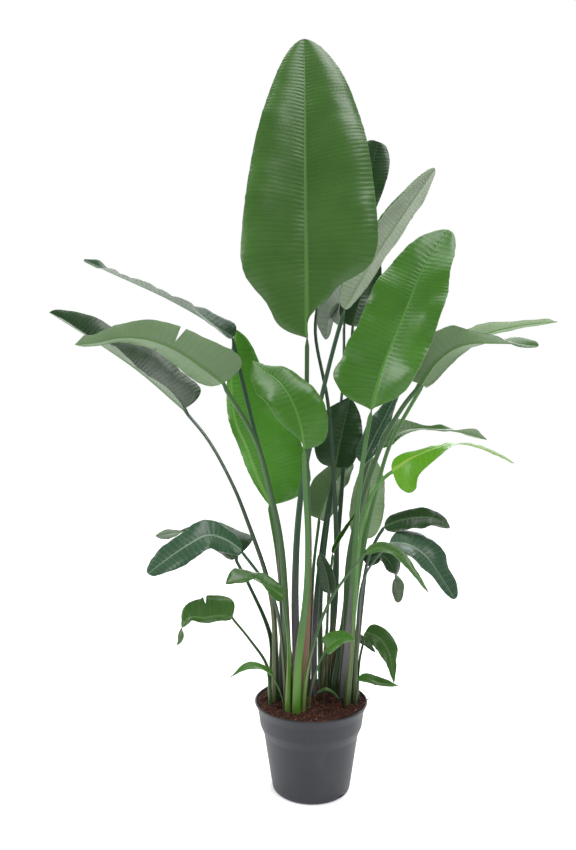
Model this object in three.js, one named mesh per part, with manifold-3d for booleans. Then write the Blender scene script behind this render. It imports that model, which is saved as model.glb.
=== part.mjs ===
// Potted bird of paradise: a moulded nursery pot, its growing mix and the leaves that stand in it.
// Millimetres, +Z up. The origin is the centre of the pot's flat bottom, and the front of the plant faces -Y.
import * as THREE from 'three';
import { mergeVertices } from 'three/addons/utils/BufferGeometryUtils.js';
import Module from 'manifold-3d';

const wasm = await Module();
wasm.setup();

// Driving dimensions of the pot
const rimRadius = 135;
const rimHeight = 208;
const lipHeight = 7;
const collarRadius = 126;
const collarBottom = 150;
const bodyTopRadius = 113.5;
const bodyTop = 136;
const baseRadius = 97;
const wall = 2.5;
const potSides = 36;

// Drain slots through the foot of the wall
const drainCount = 6;
const drainWidth = 16;
const drainHeight = 6;
const drainDepth = 16;

// Growing mix
const seat = 0.3;
const soilTop = 200;
const soilLump = 3.5;
const soilSides = potSides;
const soilRings = 5;

// Leaves
const sunk = 152;
const holeRoom = 1.5;
const holeSides = 8;
const bladeThickness = 1.1;
const stalkRows = 6;
const veinBack = 0.32;
const veinForward = 0.35;
const clearOfMix = 14;
const tearHalfLength = 0.025;

// Loose twig: radius and route
const twigRadius = 1.6;
const twigRoute = [[98, -30, 182], [112, -34, 216], [126, -38, 224], [140, -42, 232]];

const colours = {
  pot: '#3f434c',
  mix: '#5b2f22',
  twig: '#8a6a4a',
  bright: '#5a9632',
  lime: '#5aa51b',
  mid: '#4e7a36',
  dark: '#2b5227',
  bluish: '#4a6f55',
};

// What a leaf has unless its own row says otherwise. half is the blade's half width, left then right of the
// midrib as seen on its upper side. face is the way the upper side looks at the blade's base and at its tip.
const plainLook = {
  half: [50, 50],
  widest: 0.34,
  taper: 1.7,
  face: [[0, -0.4, 1], [0, -0.4, 1]],
  fold: [22, 22],
  curl: [12, 12],
  wave: 5,
  waves: 2.5,
  phase: 0,
  tears: [],
  stalkHalf: [6.5, 3.4],
  columns: [0, 0.5, 1],
  rows: 9,
  tone: 'mid',
};

const broad = { columns: [0, 0.07, 0.5, 1], rows: 12, stalkHalf: [8, 3.8] };
const little = { columns: [0, 0.5, 1], rows: 6, stalkHalf: [4, 2], wave: 2, waves: 1.5 };

function leaf(name, foot, stalk, rib, look) {
  return { name, foot, stalk, rib, ...plainLook, ...look };
}

// Each leaf: where its sheath enters the mix, its stalk up to the blade, and the blade's midrib out to the tip.
const leaves = [
  leaf('leaf_top', [-42, -60], [[-18, -60, 400], [-9, -62, 580], [-12, -62, 800]],
    [[-11, -60, 1070], [-13, -55, 1280], [-15, -45, 1470], [-15, -30, 1640], [-17, -10, 1793]],
    { ...broad, half: [165, 160], face: [[0, -1, 0.1], [0, -1, 0.3]], fold: [10, 16], curl: [8, 10], wave: 9,
      taper: 1.9, rows: 15 }),
  leaf('leaf_top_behind', [52, 58], [[60, 58, 400], [66, 60, 530], [58, 64, 760], [44, 70, 930], [14, 84, 1100]],
    [[22, 96, 1190], [85, 112, 1330], [150, 128, 1480], [197, 140, 1608]],
    { half: [55, 55], face: [[-0.3, -1, 0.3], [-0.3, -1, 0.3]], tone: 'dark' }),
  leaf('leaf_long_upright', [-32, -14], [[-38, 0, 490], [-22, 20, 710], [28, 50, 938], [64, 62, 1080]],
    [[88, 70, 1160], [170, 85, 1300], [250, 95, 1420], [320, 100, 1522]],
    { ...broad, half: [62, 62], face: [[-0.4, 1, 0], [-0.5, 1, 0.1]], fold: [38, 38], curl: [14, 14] }),
  leaf('leaf_dark_back', [44, 96], [[60, 104, 400], [84, 124, 700], [100, 148, 900]],
    [[112, 162, 1050], [140, 174, 1150], [165, 178, 1240], [182, 170, 1320]],
    { half: [46, 46], face: [[-0.2, -1, 0.2], [-0.2, -1, 0.4]], tone: 'dark' }),
  leaf('leaf_pale_back', [22, 98], [[30, 118, 450], [62, 150, 720], [94, 205, 1000]],
    [[98, 226, 1150], [84, 238, 1205], [62, 250, 1185], [50, 256, 1105]],
    { half: [48, 48], face: [[0.3, 0.6, 1], [-0.8, 0.8, 0.2]], tone: 'bluish' }),
  leaf('leaf_right_bright', [90, 0], [[100, -36, 550], [110, -64, 720], [126, -80, 847]],
    [[136, -86, 905], [160, -94, 1005], [219, -96, 1148], [254, -84, 1223], [318, -60, 1320]],
    { ...broad, half: [92, 86], face: [[-0.3, -1, 0.3], [-0.2, -1, 0.4]], fold: [16, 22], widest: 0.42,
      wave: 7, tone: 'bright' }),
  leaf('leaf_right_front', [82, 26], [[92, 4, 542], [118, -28, 680], [166, -60, 830], [204, -80, 915]],
    [[233, -92, 975], [298, -120, 1038], [366, -150, 1048], [424, -178, 1043], [476, -200, 1038]],
    { ...broad, half: [70, 64], face: [[-0.6, 0.6, 0.8], [0, 0.5, 1]], fold: [20, 20], widest: 0.25 }),
  leaf('leaf_right_far', [97, 50], [[118, 44, 498], [157, 42, 683], [196, 42, 819], [244, 42, 910]],
    [[290, 42, 974], [350, 58, 1043], [473, 100, 1108], [548, 130, 1125], [655, 160, 1137]],
    { ...broad, half: [70, 66], face: [[-0.5, 0.5, 1], [0, 0.4, 1]], fold: [20, 20], tone: 'bright' }),
  leaf('leaf_right_thin', [76, 78], [[88, 88, 400], [106, 96, 560], [140, 106, 740]],
    [[168, 114, 812], [222, 132, 852], [314, 160, 858], [400, 195, 850], [488, 230, 828]],
    { half: [44, 44], face: [[-0.3, 0, 1], [0.1, 0, 1]], tone: 'dark', rows: 10 }),
  leaf('leaf_lime', [78, -18], [[96, -48, 500], [117, -74, 648], [146, -96, 730]],
    [[180, -110, 766], [229, -130, 799], [304, -170, 828], [352, -198, 820], [412, -240, 789]],
    { ...broad, half: [30, 62], face: [[-0.3, -0.4, 1], [0.2, -0.3, 1]], fold: [10, -14], curl: [-6, -40],
      widest: 0.2, taper: 0.8, tone: 'lime' }),
  leaf('leaf_right_dark', [64, -36], [[74, -54, 400], [104, -74, 520], [130, -80, 590]],
    [[152, -86, 637], [203, -100, 660], [254, -124, 664], [300, -158, 640]],
    { half: [36, 36], face: [[-0.2, -0.5, 1], [0.2, -0.4, 1]], tone: 'dark' }),
  leaf('leaf_glossy_droop', [52, -56], [[70, -66, 350], [108, -86, 490], [146, -114, 568]],
    [[171, -132, 606], [206, -152, 606], [240, -174, 586], [264, -192, 554], [296, -215, 502]],
    { half: [42, 42], face: [[0, -0.6, 1], [0.7, -0.6, 0.4]], fold: [14, 14], tone: 'bluish' }),
  leaf('leaf_edge_droop', [-22, -66], [[-8, -80, 323], [32, -112, 459], [80, -148, 545]],
    [[110, -168, 589], [140, -188, 613], [182, -215, 600], [231, -260, 527]],
    { half: [32, 32], face: [[-0.3, 0.2, 1], [0.6, 0.2, 0.6]], fold: [40, 40] }),
  leaf('leaf_right_hanging', [108, 20], [[112, 32, 320], [122, 50, 440]],
    [[138, 62, 525], [172, 54, 548], [202, 40, 515], [213, 26, 435]],
    { half: [32, 32], face: [[-0.5, -0.3, 1], [1, -0.4, 0.1]], tone: 'dark' }),
  leaf('leaf_low_right', [104, -12], [[108, -12, 300]],
    [[132, -18, 368], [158, -38, 374], [181, -64, 335], [191, -84, 275]],
    { half: [30, 30], face: [[-0.4, -0.5, 1], [1, -0.7, 0.2]], stalkHalf: [5, 2.6] }),
  leaf('leaf_low_tiny', [88, 66], [[98, 76, 260]],
    [[112, 88, 322], [138, 97, 332], [165, 104, 290]],
    { ...little, half: [17, 17], face: [[-0.5, 0, 1], [0.6, 0, 0.6]], tone: 'dark' }),
  leaf('leaf_rim_right', [102, 36], [[108, 33, 228]],
    [[120, 26, 252], [150, 12, 264], [182, -6, 262], [208, -20, 246]],
    { ...little, half: [15, 15], face: [[-0.3, 0, 1], [0.2, 0, 1]] }),
  leaf('leaf_on_mix', [8, -10], [[9, -11, 218]],
    [[14, -13, 226], [34, -17, 234], [52, -21, 230], [66, -25, 217]],
    { ...little, half: [9, 9], face: [[0, 0, 1], [0.2, 0, 1]], stalkHalf: [3, 1.8], wave: 0.6 }),
  leaf('leaf_centre_small', [-8, -40], [[12, -68, 306], [36, -90, 358]],
    [[54, -102, 378], [66, -112, 394], [80, -120, 400], [96, -126, 394]],
    { ...little, half: [20, 20], face: [[-0.6, -0.8, 1], [-0.2, -0.9, 1]] }),
  leaf('leaf_centre_dark', [26, 8], [[34, 8, 330]],
    [[46, 10, 462], [40, 0, 500], [30, -10, 535], [20, -20, 562]],
    { ...little, half: [22, 22], face: [[-0.4, -1, 0], [-0.4, -1, 0.2]], tone: 'dark' }),
  leaf('leaf_left_tiny', [-66, -34], [[-76, -40, 245]],
    [[-94, -50, 284], [-128, -60, 308], [-158, -70, 306], [-185, -80, 290]],
    { ...little, half: [16, 16], face: [[0.4, -0.3, 1], [-0.2, -0.3, 1]] }),
  leaf('leaf_left_low', [-94, -8], [[-106, -10, 292], [-146, -20, 356]],
    [[-187, -32, 411], [-230, -50, 450], [-278, -78, 432], [-310, -95, 365]],
    { half: [38, 36], face: [[0.5, -0.4, 1], [-0.9, -0.5, 0.4]], stalkHalf: [5.5, 2.8],
      tears: [[0.45, -1, 0.6]] }),
  leaf('leaf_left_front', [-56, -78], [[-46, -86, 330], [-58, -106, 426]],
    [[-67, -120, 483], [-92, -131, 514], [-138, -146, 532], [-192, -160, 516]],
    { half: [34, 34], face: [[0.6, -0.2, 1], [0, -0.2, 1]], fold: [45, 45], tone: 'bright',
      stalkHalf: [6, 3.2] }),
  leaf('leaf_left_glossy', [-76, 8], [[-88, -14, 380], [-112, -46, 506]],
    [[-161, -80, 577], [-235, -118, 620], [-306, -166, 600], [-350, -195, 546]],
    { half: [48, 50], face: [[0.3, -0.6, 1], [-0.5, -0.6, 0.8]], tone: 'dark', rows: 10 }),
  leaf('leaf_left_behind', [-92, 28], [[-102, 34, 344], [-153, 60, 469]],
    [[-189, 80, 531], [-261, 110, 573], [-332, 140, 589], [-405, 165, 574]],
    { half: [42, 42], face: [[0.4, -0.2, 1], [0, -0.2, 1]], tone: 'dark' }),
  leaf('leaf_upper_left_thin', [-62, 28], [[-66, 28, 400], [-76, 26, 578], [-100, 24, 708], [-138, 22, 856]],
    [[-192, 24, 1050], [-262, 22, 1108], [-330, 28, 1158], [-402, 42, 1206], [-565, 80, 1283]],
    { ...broad, half: [46, 46], face: [[0.6, 0.2, 1], [0.4, 0.1, 1]], fold: [26, 26], tone: 'bluish' }),
  leaf('leaf_left_torn', [-54, -8], [[-58, -10, 353], [-72, -22, 587], [-98, -34, 715], [-130, -44, 829]],
    [[-205, -60, 960], [-260, -80, 1008], [-338, -115, 1050], [-431, -155, 1062], [-517, -190, 1056]],
    { ...broad, half: [80, 54], face: [[0.5, 0.8, 0.7], [0.1, 0.7, 0.8]], fold: [14, 16],
      tears: [[0.4, 1, 0.75]] }),
  leaf('leaf_far_left', [-76, 50], [[-86, 52, 400], [-104, 54, 495], [-150, 56, 615], [-190, 58, 714],
    [-254, 60, 831]],
    [[-317, 66, 908], [-431, 90, 1003], [-541, 120, 1077], [-685, 160, 1165]],
    { ...broad, half: [74, 70], face: [[0.6, -0.5, 0.9], [0.4, 0.1, 1]], fold: [16, 20], widest: 0.25,
      tone: 'dark' }),
  leaf('leaf_left_upright', [-46, 62], [[-62, 66, 400], [-84, 72, 500], [-98, 80, 590]],
    [[-124, 88, 690], [-155, 98, 803], [-190, 108, 940], [-208, 116, 1058]],
    { ...broad, half: [38, 112], face: [[0.2, -1, 0.1], [0.1, -1, 0.2]], fold: [20, 6], widest: 0.28,
      tone: 'bright' }),
  leaf('leaf_front_bright', [-26, -92], [[-14, -98, 400], [-8, -106, 608], [-13, -120, 729]],
    [[-16, -132, 829], [-34, -138, 884], [-60, -134, 942], [-96, -118, 985], [-133, -98, 1009]],
    { ...broad, half: [66, 66], face: [[0.3, -1, 0.3], [0.3, -1, 0.6]], fold: [12, 12], tone: 'bright' }),
  leaf('leaf_shaded', [14, 62], [[16, 80, 450], [40, 98, 625]],
    [[66, 110, 762], [80, 118, 830], [94, 122, 890], [106, 120, 940]],
    { half: [48, 44], face: [[0.2, -1, 0.2], [0.2, -1, 0.4]], tone: 'dark' }),
  leaf('leaf_narrow_grey', [68, 40], [[80, 46, 350], [104, 58, 540], [124, 66, 700]],
    [[150, 78, 843], [182, 88, 897], [215, 98, 942], [247, 106, 984]],
    { half: [25, 25], face: [[-0.5, -1, 0.4], [-0.5, -1, 0.6]], fold: [35, 35], tone: 'bluish' }),
  leaf('leaf_olive_back', [-2, 88], [[2, 112, 350], [12, 146, 500]],
    [[28, 172, 620], [52, 188, 682], [86, 204, 732], [122, 212, 762]],
    { half: [52, 50], face: [[-0.3, -1, 0.5], [-0.2, -1, 0.6]] }),
  leaf('leaf_pale_right', [60, 88], [[84, 108, 350], [118, 128, 480]],
    [[140, 138, 575], [152, 146, 650], [160, 148, 720], [164, 144, 785]],
    { half: [40, 38], face: [[0, -1, 0.1], [0, -1, 0.2]], tone: 'bright' }),
  leaf('young_rolled_leaf', [38, 34], [[46, 32, 330], [62, 26, 460]],
    [[84, 18, 552], [92, 14, 578], [102, 8, 608], [112, 2, 640]],
    { ...little, half: [12, 12], face: [[-0.6, -1, 0], [-0.6, -1, 0]], fold: [58, 58], curl: [20, 20], wave: 0,
      stalkHalf: [4.5, 3.5], tone: 'bright' }),
];

function vector(point) {
  return new THREE.Vector3(...point);
}

function mix(from, to, share) {
  return from + (to - from) * share;
}

function smooth(share) {
  const held = Math.min(1, Math.max(0, share));
  return held * held * (3 - 2 * held);
}

function material(tone, roughness) {
  return new THREE.MeshStandardMaterial({ color: colours[tone], roughness, metalness: 0 });
}

function namedMesh(name, geometry, tone, roughness) {
  const mesh = new THREE.Mesh(geometry, material(tone, roughness));
  mesh.name = name;
  return mesh;
}

function geometryFrom(positions, triangles) {
  const geometry = new THREE.BufferGeometry();
  geometry.setAttribute('position', new THREE.Float32BufferAttribute(positions, 3));
  geometry.setIndex(triangles);
  return geometry;
}

// Joining and cutting
function solidFrom(geometry) {
  const bare = geometry.clone();
  bare.deleteAttribute('normal');
  bare.deleteAttribute('uv');
  const merged = mergeVertices(bare, 1e-3);
  const vertProperties = new Float32Array(merged.attributes.position.array);
  const triVerts = new Uint32Array(merged.index.array);
  return new wasm.Manifold(new wasm.Mesh({ numProp: 3, vertProperties, triVerts }));
}

function geometryOf(solid) {
  const mesh = solid.getMesh();
  return geometryFrom(Array.from(mesh.vertProperties), Array.from(mesh.triVerts));
}

function cutAll(solid, cutters) {
  return cutters.reduce((left, cutter) => left.subtract(cutter), solid);
}

// The lathe turns its profile about Y, so the result is stood up along Z
function turned(profile, sides) {
  const points = profile.map(([radius, height]) => new THREE.Vector2(radius, height));
  const geometry = new THREE.LatheGeometry(points, sides);
  geometry.rotateX(Math.PI / 2);
  return geometry;
}

// Pot: one shell, from the centre of its floor out, up the wall, over the lip and back down inside
function potGeometry() {
  const profile = [
    [0, 0], [baseRadius - 4, 0], [baseRadius - 1, 1.2], [baseRadius, 4],
    [bodyTopRadius, bodyTop - 4], [bodyTopRadius + 3, bodyTop + 3], [collarRadius - 3, collarBottom - 4],
    [collarRadius - 0.5, collarBottom + 2], [collarRadius, rimHeight - lipHeight],
    [rimRadius, rimHeight - lipHeight], [rimRadius, rimHeight - 1], [rimRadius - 1, rimHeight],
    [collarRadius - wall + 1, rimHeight], [collarRadius - wall, rimHeight - 1],
    [collarRadius - wall, collarBottom + 3], [bodyTopRadius - wall, bodyTop], [baseRadius - wall, wall + 1],
    [0, wall + 1],
  ];
  const shell = solidFrom(turned(profile, potSides));
  const slots = Array.from({ length: drainCount }, (_, index) => {
    const slot = new THREE.BoxGeometry(drainDepth, drainWidth, drainHeight);
    slot.translate(baseRadius, 0, drainHeight / 2 + wall + 1.5);
    slot.rotateZ(((index + 0.5) * 2 * Math.PI) / drainCount);
    return solidFrom(slot);
  });
  return geometryOf(cutAll(shell, slots));
}

// The mix's uneven top, higher by a few slow waves and always level at the wall
function lumpHeight(x, y) {
  const waves = Math.sin(x / 11 + 1) * Math.cos(y / 13) + 0.6 * Math.sin((x - y) / 7 + 2);
  const fade = 1 - smooth((Math.hypot(x, y) - 95) / 25);
  return soilTop + soilLump * waves * fade;
}

function soilPoint(ring, side) {
  const radius = ((collarRadius - wall - seat) * ring) / soilRings;
  const angle = (side * 2 * Math.PI) / soilSides;
  const x = radius * Math.cos(angle);
  const y = radius * Math.sin(angle);
  return [x, y, lumpHeight(x, y)];
}

// The mix fills the pot: a lumpy disc on top, then rings down the inside of the wall to a flat floor
function soilBlock() {
  const positions = [0, 0, lumpHeight(0, 0)];
  for (let ring = 1; ring <= soilRings; ring += 1) {
    for (let side = 0; side < soilSides; side += 1) positions.push(...soilPoint(ring, side));
  }
  const below = [
    [collarRadius - wall - seat, collarBottom + 3], [bodyTopRadius - wall - seat, bodyTop],
    [baseRadius - wall - seat, wall + 1 + seat],
  ];
  for (const [radius, height] of below) {
    for (let side = 0; side < soilSides; side += 1) {
      const angle = (side * 2 * Math.PI) / soilSides;
      positions.push(radius * Math.cos(angle), radius * Math.sin(angle), height);
    }
  }
  positions.push(0, 0, wall + 1 + seat);
  const rings = soilRings + below.length;
  const at = (ring, side) => 1 + (ring - 1) * soilSides + (side % soilSides);
  const floorCentre = 1 + rings * soilSides;
  const triangles = [];
  for (let side = 0; side < soilSides; side += 1) {
    triangles.push(0, at(1, side), at(1, side + 1));
    for (let ring = 1; ring < rings; ring += 1) {
      triangles.push(at(ring, side), at(ring + 1, side), at(ring + 1, side + 1));
      triangles.push(at(ring, side), at(ring + 1, side + 1), at(ring, side + 1));
    }
    triangles.push(floorCentre, at(rings, side + 1), at(rings, side));
  }
  return solidFrom(geometryFrom(positions, triangles));
}

function footHole({ foot, stalkHalf }) {
  const depth = soilTop + 30 - (sunk - seat);
  const hole = new THREE.CylinderGeometry(stalkHalf[0] + holeRoom, stalkHalf[0] + holeRoom, depth, holeSides);
  hole.rotateX(Math.PI / 2);
  hole.translate(foot[0], foot[1], sunk - seat + depth / 2);
  return solidFrom(hole);
}

function twigGeometry(radius, route) {
  const section = new THREE.Shape();
  section.absarc(0, 0, radius, 0, 2 * Math.PI);
  const path = new THREE.CatmullRomCurve3(route.map(vector));
  return new THREE.ExtrudeGeometry(section, { steps: 8, curveSegments: 4, extrudePath: path });
}

function soilGeometry() {
  const start = vector(twigRoute[0]);
  const deeper = start.clone().sub(vector(twigRoute[1]).sub(start).setLength(seat));
  const twigHole = twigGeometry(twigRadius + 0.5, [deeper.toArray(), ...twigRoute.slice(1)]);
  const holes = leaves.map(footHole);
  return geometryOf(cutAll(soilBlock(), [...holes, solidFrom(twigHole)]));
}

// Half width of a blade as a share of its widest, from its base at 0 to its tip at 1
function widthShare(along, { widest, taper }) {
  if (along < widest) return Math.sqrt(1 - (1 - along / widest) ** 3);
  return (1 - ((along - widest) / (1 - widest)) ** taper) ** 0.68;
}

function tearShare(along, side, tears) {
  return tears.reduce((share, [place, tornSide, depth]) => {
    if (tornSide !== side) return share;
    return share * (1 - depth * Math.max(0, 1 - Math.abs(along - place) / tearHalfLength));
  }, 1);
}

// Tangent, upper side and right-hand side of the midrib at one place
function bladeFrame(curve, along, face) {
  const tangent = curve.getTangent(along);
  const up = vector(face[0]).lerp(vector(face[1]), along);
  up.addScaledVector(tangent, -up.dot(tangent)).normalize();
  return { point: curve.getPoint(along), tangent, up, side: tangent.clone().cross(up) };
}

// A point of the blade: an arc from the midrib out to the edge, swept along the veins, with a waved edge
function bladePoint(leafRow, curve, along, across) {
  const right = across >= 0 ? 1 : 0;
  const sign = right ? 1 : -1;
  const out = Math.abs(across);
  const { point, tangent, up, side } = bladeFrame(curve, along, leafRow.face);
  const half = leafRow.half[right] * widthShare(along, leafRow) * tearShare(along, sign, leafRow.tears);
  const reach = Math.max(half, 1.5);
  const fold = THREE.MathUtils.degToRad(leafRow.fold[right]);
  const curl = THREE.MathUtils.degToRad(leafRow.curl[right]) + 1e-4;
  const sideways = (reach * (Math.sin(fold + curl * out) - Math.sin(fold))) / curl;
  const raised = (reach * (Math.cos(fold) - Math.cos(fold + curl * out))) / curl;
  const ripple = Math.sin(2 * Math.PI * leafRow.waves * along + leafRow.phase + right * 1.7);
  const waved = leafRow.wave * out ** 2 * ripple * Math.min(1, reach / leafRow.half[right]);
  const swept = reach * out * mix(-veinBack, veinForward, smooth(along * 1.6)) * (1 - along);
  return point
    .addScaledVector(side, sign * sideways)
    .addScaledVector(up, raised + waved)
    .addScaledVector(tangent, swept);
}

// Rows along the blade, closer at its base and tip, with three close together at each tear
function bladeRows({ rows, tears }) {
  const even = Array.from({ length: rows }, (_, index) => {
    const share = (index + 0.35) / (rows - 0.65);
    return mix(share, (1 - Math.cos(Math.PI * share)) / 2, 0.75);
  });
  const torn = tears.flatMap(([place]) => [place - tearHalfLength, place, place + tearHalfLength]);
  const clear = even.filter((along) => torn.every((place) => Math.abs(along - place) > 0.012));
  return [...clear, ...torn].sort((first, second) => first - second);
}

function acrossColumns({ columns }) {
  return [...columns.slice(1).reverse().map((column) => -column), ...columns];
}

function bladeRing(leafRow, curve, along, columns, length) {
  const step = 0.004;
  const keel = mix(3.2, 0.6, along) * Math.min(1, length / 250);
  const ring = { top: [], bottom: [] };
  for (const across of columns) {
    const point = bladePoint(leafRow, curve, along, across);
    const sideways = bladePoint(leafRow, curve, along, Math.min(1, across + step))
      .sub(bladePoint(leafRow, curve, along, Math.max(-1, across - step)));
    const lengthways = bladePoint(leafRow, curve, Math.min(1, along + step), across)
      .sub(bladePoint(leafRow, curve, Math.max(0, along - step), across));
    const up = sideways.cross(lengthways).normalize();
    const middle = bladeFrame(curve, along, leafRow.face).up;
    const lift = across === 0 ? middle : up.lerp(middle, 0.4).normalize();
    ring.top.push(point.clone().addScaledVector(lift, bladeThickness / 2));
    ring.bottom.push(point.clone().addScaledVector(lift, -bladeThickness / 2 - (across === 0 ? keel : 0)));
  }
  return ring;
}

// A stalk's section: round in the mix, then channelled on its upper side
function stalkRing(frame, half, channelled, columns) {
  const ring = { top: [], bottom: [] };
  for (const across of columns) {
    const bulge = Math.sqrt(1 - across * across * 0.98);
    const round = half * (0.12 + 0.72 * bulge);
    const channel = half * (0.32 - 0.3 * bulge);
    const sideways = across * half * 0.92;
    const place = (height) => frame.point.clone()
      .addScaledVector(frame.side, sideways)
      .addScaledVector(frame.up, height);
    ring.top.push(place(mix(round, channel, channelled)));
    ring.bottom.push(place(-half * (0.12 + 0.72 * bulge)));
  }
  return ring;
}

// Stalk frames start at the blade's base and are carried down, so the stalk never twists against its blade
function stalkRings(leafRow, columns, firstUp) {
  const [x, y] = leafRow.foot;
  const route = [[x, y, sunk], [x, y, soilTop - 14], [x, y, soilTop + 16], ...leafRow.stalk, leafRow.rib[0]];
  const used = leafRow.stalk[0][2] < soilTop + 40 ? [route[0], route[1], ...route.slice(3)] : route;
  const curve = new THREE.CatmullRomCurve3(used.map(vector), false, 'centripetal');
  const clear = (soilTop + clearOfMix - sunk) / curve.getLength();
  const places = [0, ...Array.from({ length: stalkRows }, (_, row) => mix(clear, 1, row / (stalkRows - 0.65)))];
  const rings = [];
  const up = firstUp.clone();
  for (const along of places.reverse()) {
    const tangent = curve.getTangentAt(along);
    up.addScaledVector(tangent, -up.dot(tangent)).normalize();
    const side = tangent.clone().cross(up);
    const frame = { point: curve.getPointAt(along), up: up.clone(), side };
    const half = mix(leafRow.stalkHalf[0], leafRow.stalkHalf[1], smooth(along * 1.15));
    rings.unshift(stalkRing(frame, half, smooth((along - clear) * 3), columns));
  }
  return rings;
}

function leafGeometry(leafRow) {
  const curve = new THREE.CatmullRomCurve3(leafRow.rib.map(vector), false, 'centripetal');
  const columns = acrossColumns(leafRow);
  const length = curve.getLength();
  const base = bladeFrame(curve, 0, leafRow.face);
  const blade = bladeRows(leafRow).map((along) => bladeRing(leafRow, curve, along, columns, length));
  return skin([...stalkRings(leafRow, columns, base.up), ...blade], columns.length);
}

// Closes a row of rings into one body. Both faces of the blade are split along the same diagonals.
function skin(rings, count) {
  const positions = rings.flatMap(({ top, bottom }) => [...top, ...bottom].flatMap((point) => point.toArray()));
  const top = (ring, column) => ring * 2 * count + column;
  const bottom = (ring, column) => top(ring, column) + count;
  const triangles = [];
  const quad = (a, b, c, d) => triangles.push(a, b, c, a, c, d);
  const last = rings.length - 1;
  for (let ring = 0; ring < last; ring += 1) {
    for (let column = 0; column < count - 1; column += 1) {
      quad(top(ring, column), top(ring, column + 1), top(ring + 1, column + 1), top(ring + 1, column));
      triangles.push(bottom(ring, column), bottom(ring + 1, column + 1), bottom(ring, column + 1));
      triangles.push(bottom(ring, column), bottom(ring + 1, column), bottom(ring + 1, column + 1));
    }
    quad(top(ring, 0), top(ring + 1, 0), bottom(ring + 1, 0), bottom(ring, 0));
    const edge = count - 1;
    quad(top(ring, edge), bottom(ring, edge), bottom(ring + 1, edge), top(ring + 1, edge));
  }
  for (let column = 0; column < count - 1; column += 1) {
    quad(top(0, column), bottom(0, column), bottom(0, column + 1), top(0, column + 1));
    quad(top(last, column), top(last, column + 1), bottom(last, column + 1), bottom(last, column));
  }
  return geometryFrom(positions, triangles);
}

const plant = new THREE.Group();
plant.add(namedMesh('pot', potGeometry(), 'pot', 0.5));
plant.add(namedMesh('growing_mix', soilGeometry(), 'mix', 0.95));
plant.add(namedMesh('twig', twigGeometry(twigRadius, twigRoute), 'twig', 0.9));
for (const leafRow of leaves) {
  plant.add(namedMesh(leafRow.name, leafGeometry(leafRow), leafRow.tone, 0.45));
}

export default plant;
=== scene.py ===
import bmesh
import bpy
import math
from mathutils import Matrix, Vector, noise


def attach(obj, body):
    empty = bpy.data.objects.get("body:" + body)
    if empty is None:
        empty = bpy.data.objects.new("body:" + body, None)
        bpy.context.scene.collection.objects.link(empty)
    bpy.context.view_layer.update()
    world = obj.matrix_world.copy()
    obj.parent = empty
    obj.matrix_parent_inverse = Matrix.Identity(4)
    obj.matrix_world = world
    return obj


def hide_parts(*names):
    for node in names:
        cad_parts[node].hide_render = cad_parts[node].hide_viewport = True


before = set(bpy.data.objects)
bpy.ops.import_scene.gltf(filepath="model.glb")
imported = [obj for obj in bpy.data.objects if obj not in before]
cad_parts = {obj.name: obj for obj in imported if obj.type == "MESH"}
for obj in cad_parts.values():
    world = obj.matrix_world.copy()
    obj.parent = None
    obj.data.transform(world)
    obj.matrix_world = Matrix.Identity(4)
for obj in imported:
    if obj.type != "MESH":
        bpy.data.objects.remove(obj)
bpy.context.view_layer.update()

mm = 0.001  # lengths of the plant and pot are written in millimetres, as a grower would give them


def mix(low, high, share):
    return low + (high - low) * share


def smooth(share):
    held = min(1.0, max(0.0, share))
    return held * held * (3 - 2 * held)


def hexToLinear(code):
    parts = [int(code[place:place + 2], 16) / 255 for place in (0, 2, 4)]
    return tuple(p / 12.92 if p <= 0.04045 else ((p + 0.055) / 1.055) ** 2.4 for p in parts) + (1.0,)


# The scale of a pattern whose parts are this many millimetres across
def perMetre(size):
    return 1 / (size * mm)


# Adds a node with its settings and links. Inputs are given by name, or as a list in the order in which the
# node shows them. A node given as an input stands for the first output that it shows. A ramp takes its
# stops as (place, colour).
def addNode(tree, kind, inputs=(), stops=(), **settings):
    node = tree.nodes.new(kind)
    for name, value in settings.items():
        setattr(node, name, value)
    if stops:
        elements = node.color_ramp.elements
        while len(elements) < len(stops):
            elements.new(0.5)
        for element, (place, code) in zip(elements, stops):
            element.position = place
            element.color = hexToLinear(code)
    shown = [socket for socket in node.inputs if socket.enabled]
    if isinstance(inputs, dict):
        names = [socket.name for socket in shown]
        pairs = [(shown[names.index(name)], value) for name, value in inputs.items()]
    else:
        pairs = zip(shown, inputs)
    for socket, value in pairs:
        if isinstance(value, bpy.types.Node):
            value = next(output for output in value.outputs if output.enabled)
        if isinstance(value, bpy.types.NodeSocket):
            tree.links.new(value, socket)
        else:
            socket.default_value = value
    return node


def newMaterial(name):
    material = bpy.data.materials.new(name)
    material.use_nodes = True
    material.node_tree.nodes.clear()
    return material, material.node_tree


# Gives the material its skin, from the settings of the one shader that every finish here uses
def finishMaterial(tree, skin):
    shader = addNode(tree, "ShaderNodeBsdfPrincipled", skin)
    addNode(tree, "ShaderNodeOutputMaterial", {"Surface": shader})


def newPiece(name, points, faces, material, sharpFrom=48):
    mesh = bpy.data.meshes.new(name)
    mesh.from_pydata([tuple(point) for point in points], [], faces)
    mesh.materials.append(material)
    mesh.polygons.foreach_set("use_smooth", [True] * len(mesh.polygons))
    mesh.set_sharp_from_angle(angle=math.radians(sharpFrom))
    piece = bpy.data.objects.new(name, mesh)
    bpy.context.scene.collection.objects.link(piece)
    return piece


# Swaps a piece's mesh for the finished one that its modifiers give, and takes the modifiers off
def makePlain(piece):
    bpy.context.view_layer.update()
    finished = piece.evaluated_get(bpy.context.evaluated_depsgraph_get())
    mesh = bpy.data.meshes.new_from_object(finished)
    piece.modifiers.clear()
    piece.data = mesh


def standIn(piece, node):
    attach(piece, "root")
    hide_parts(node)


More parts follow.
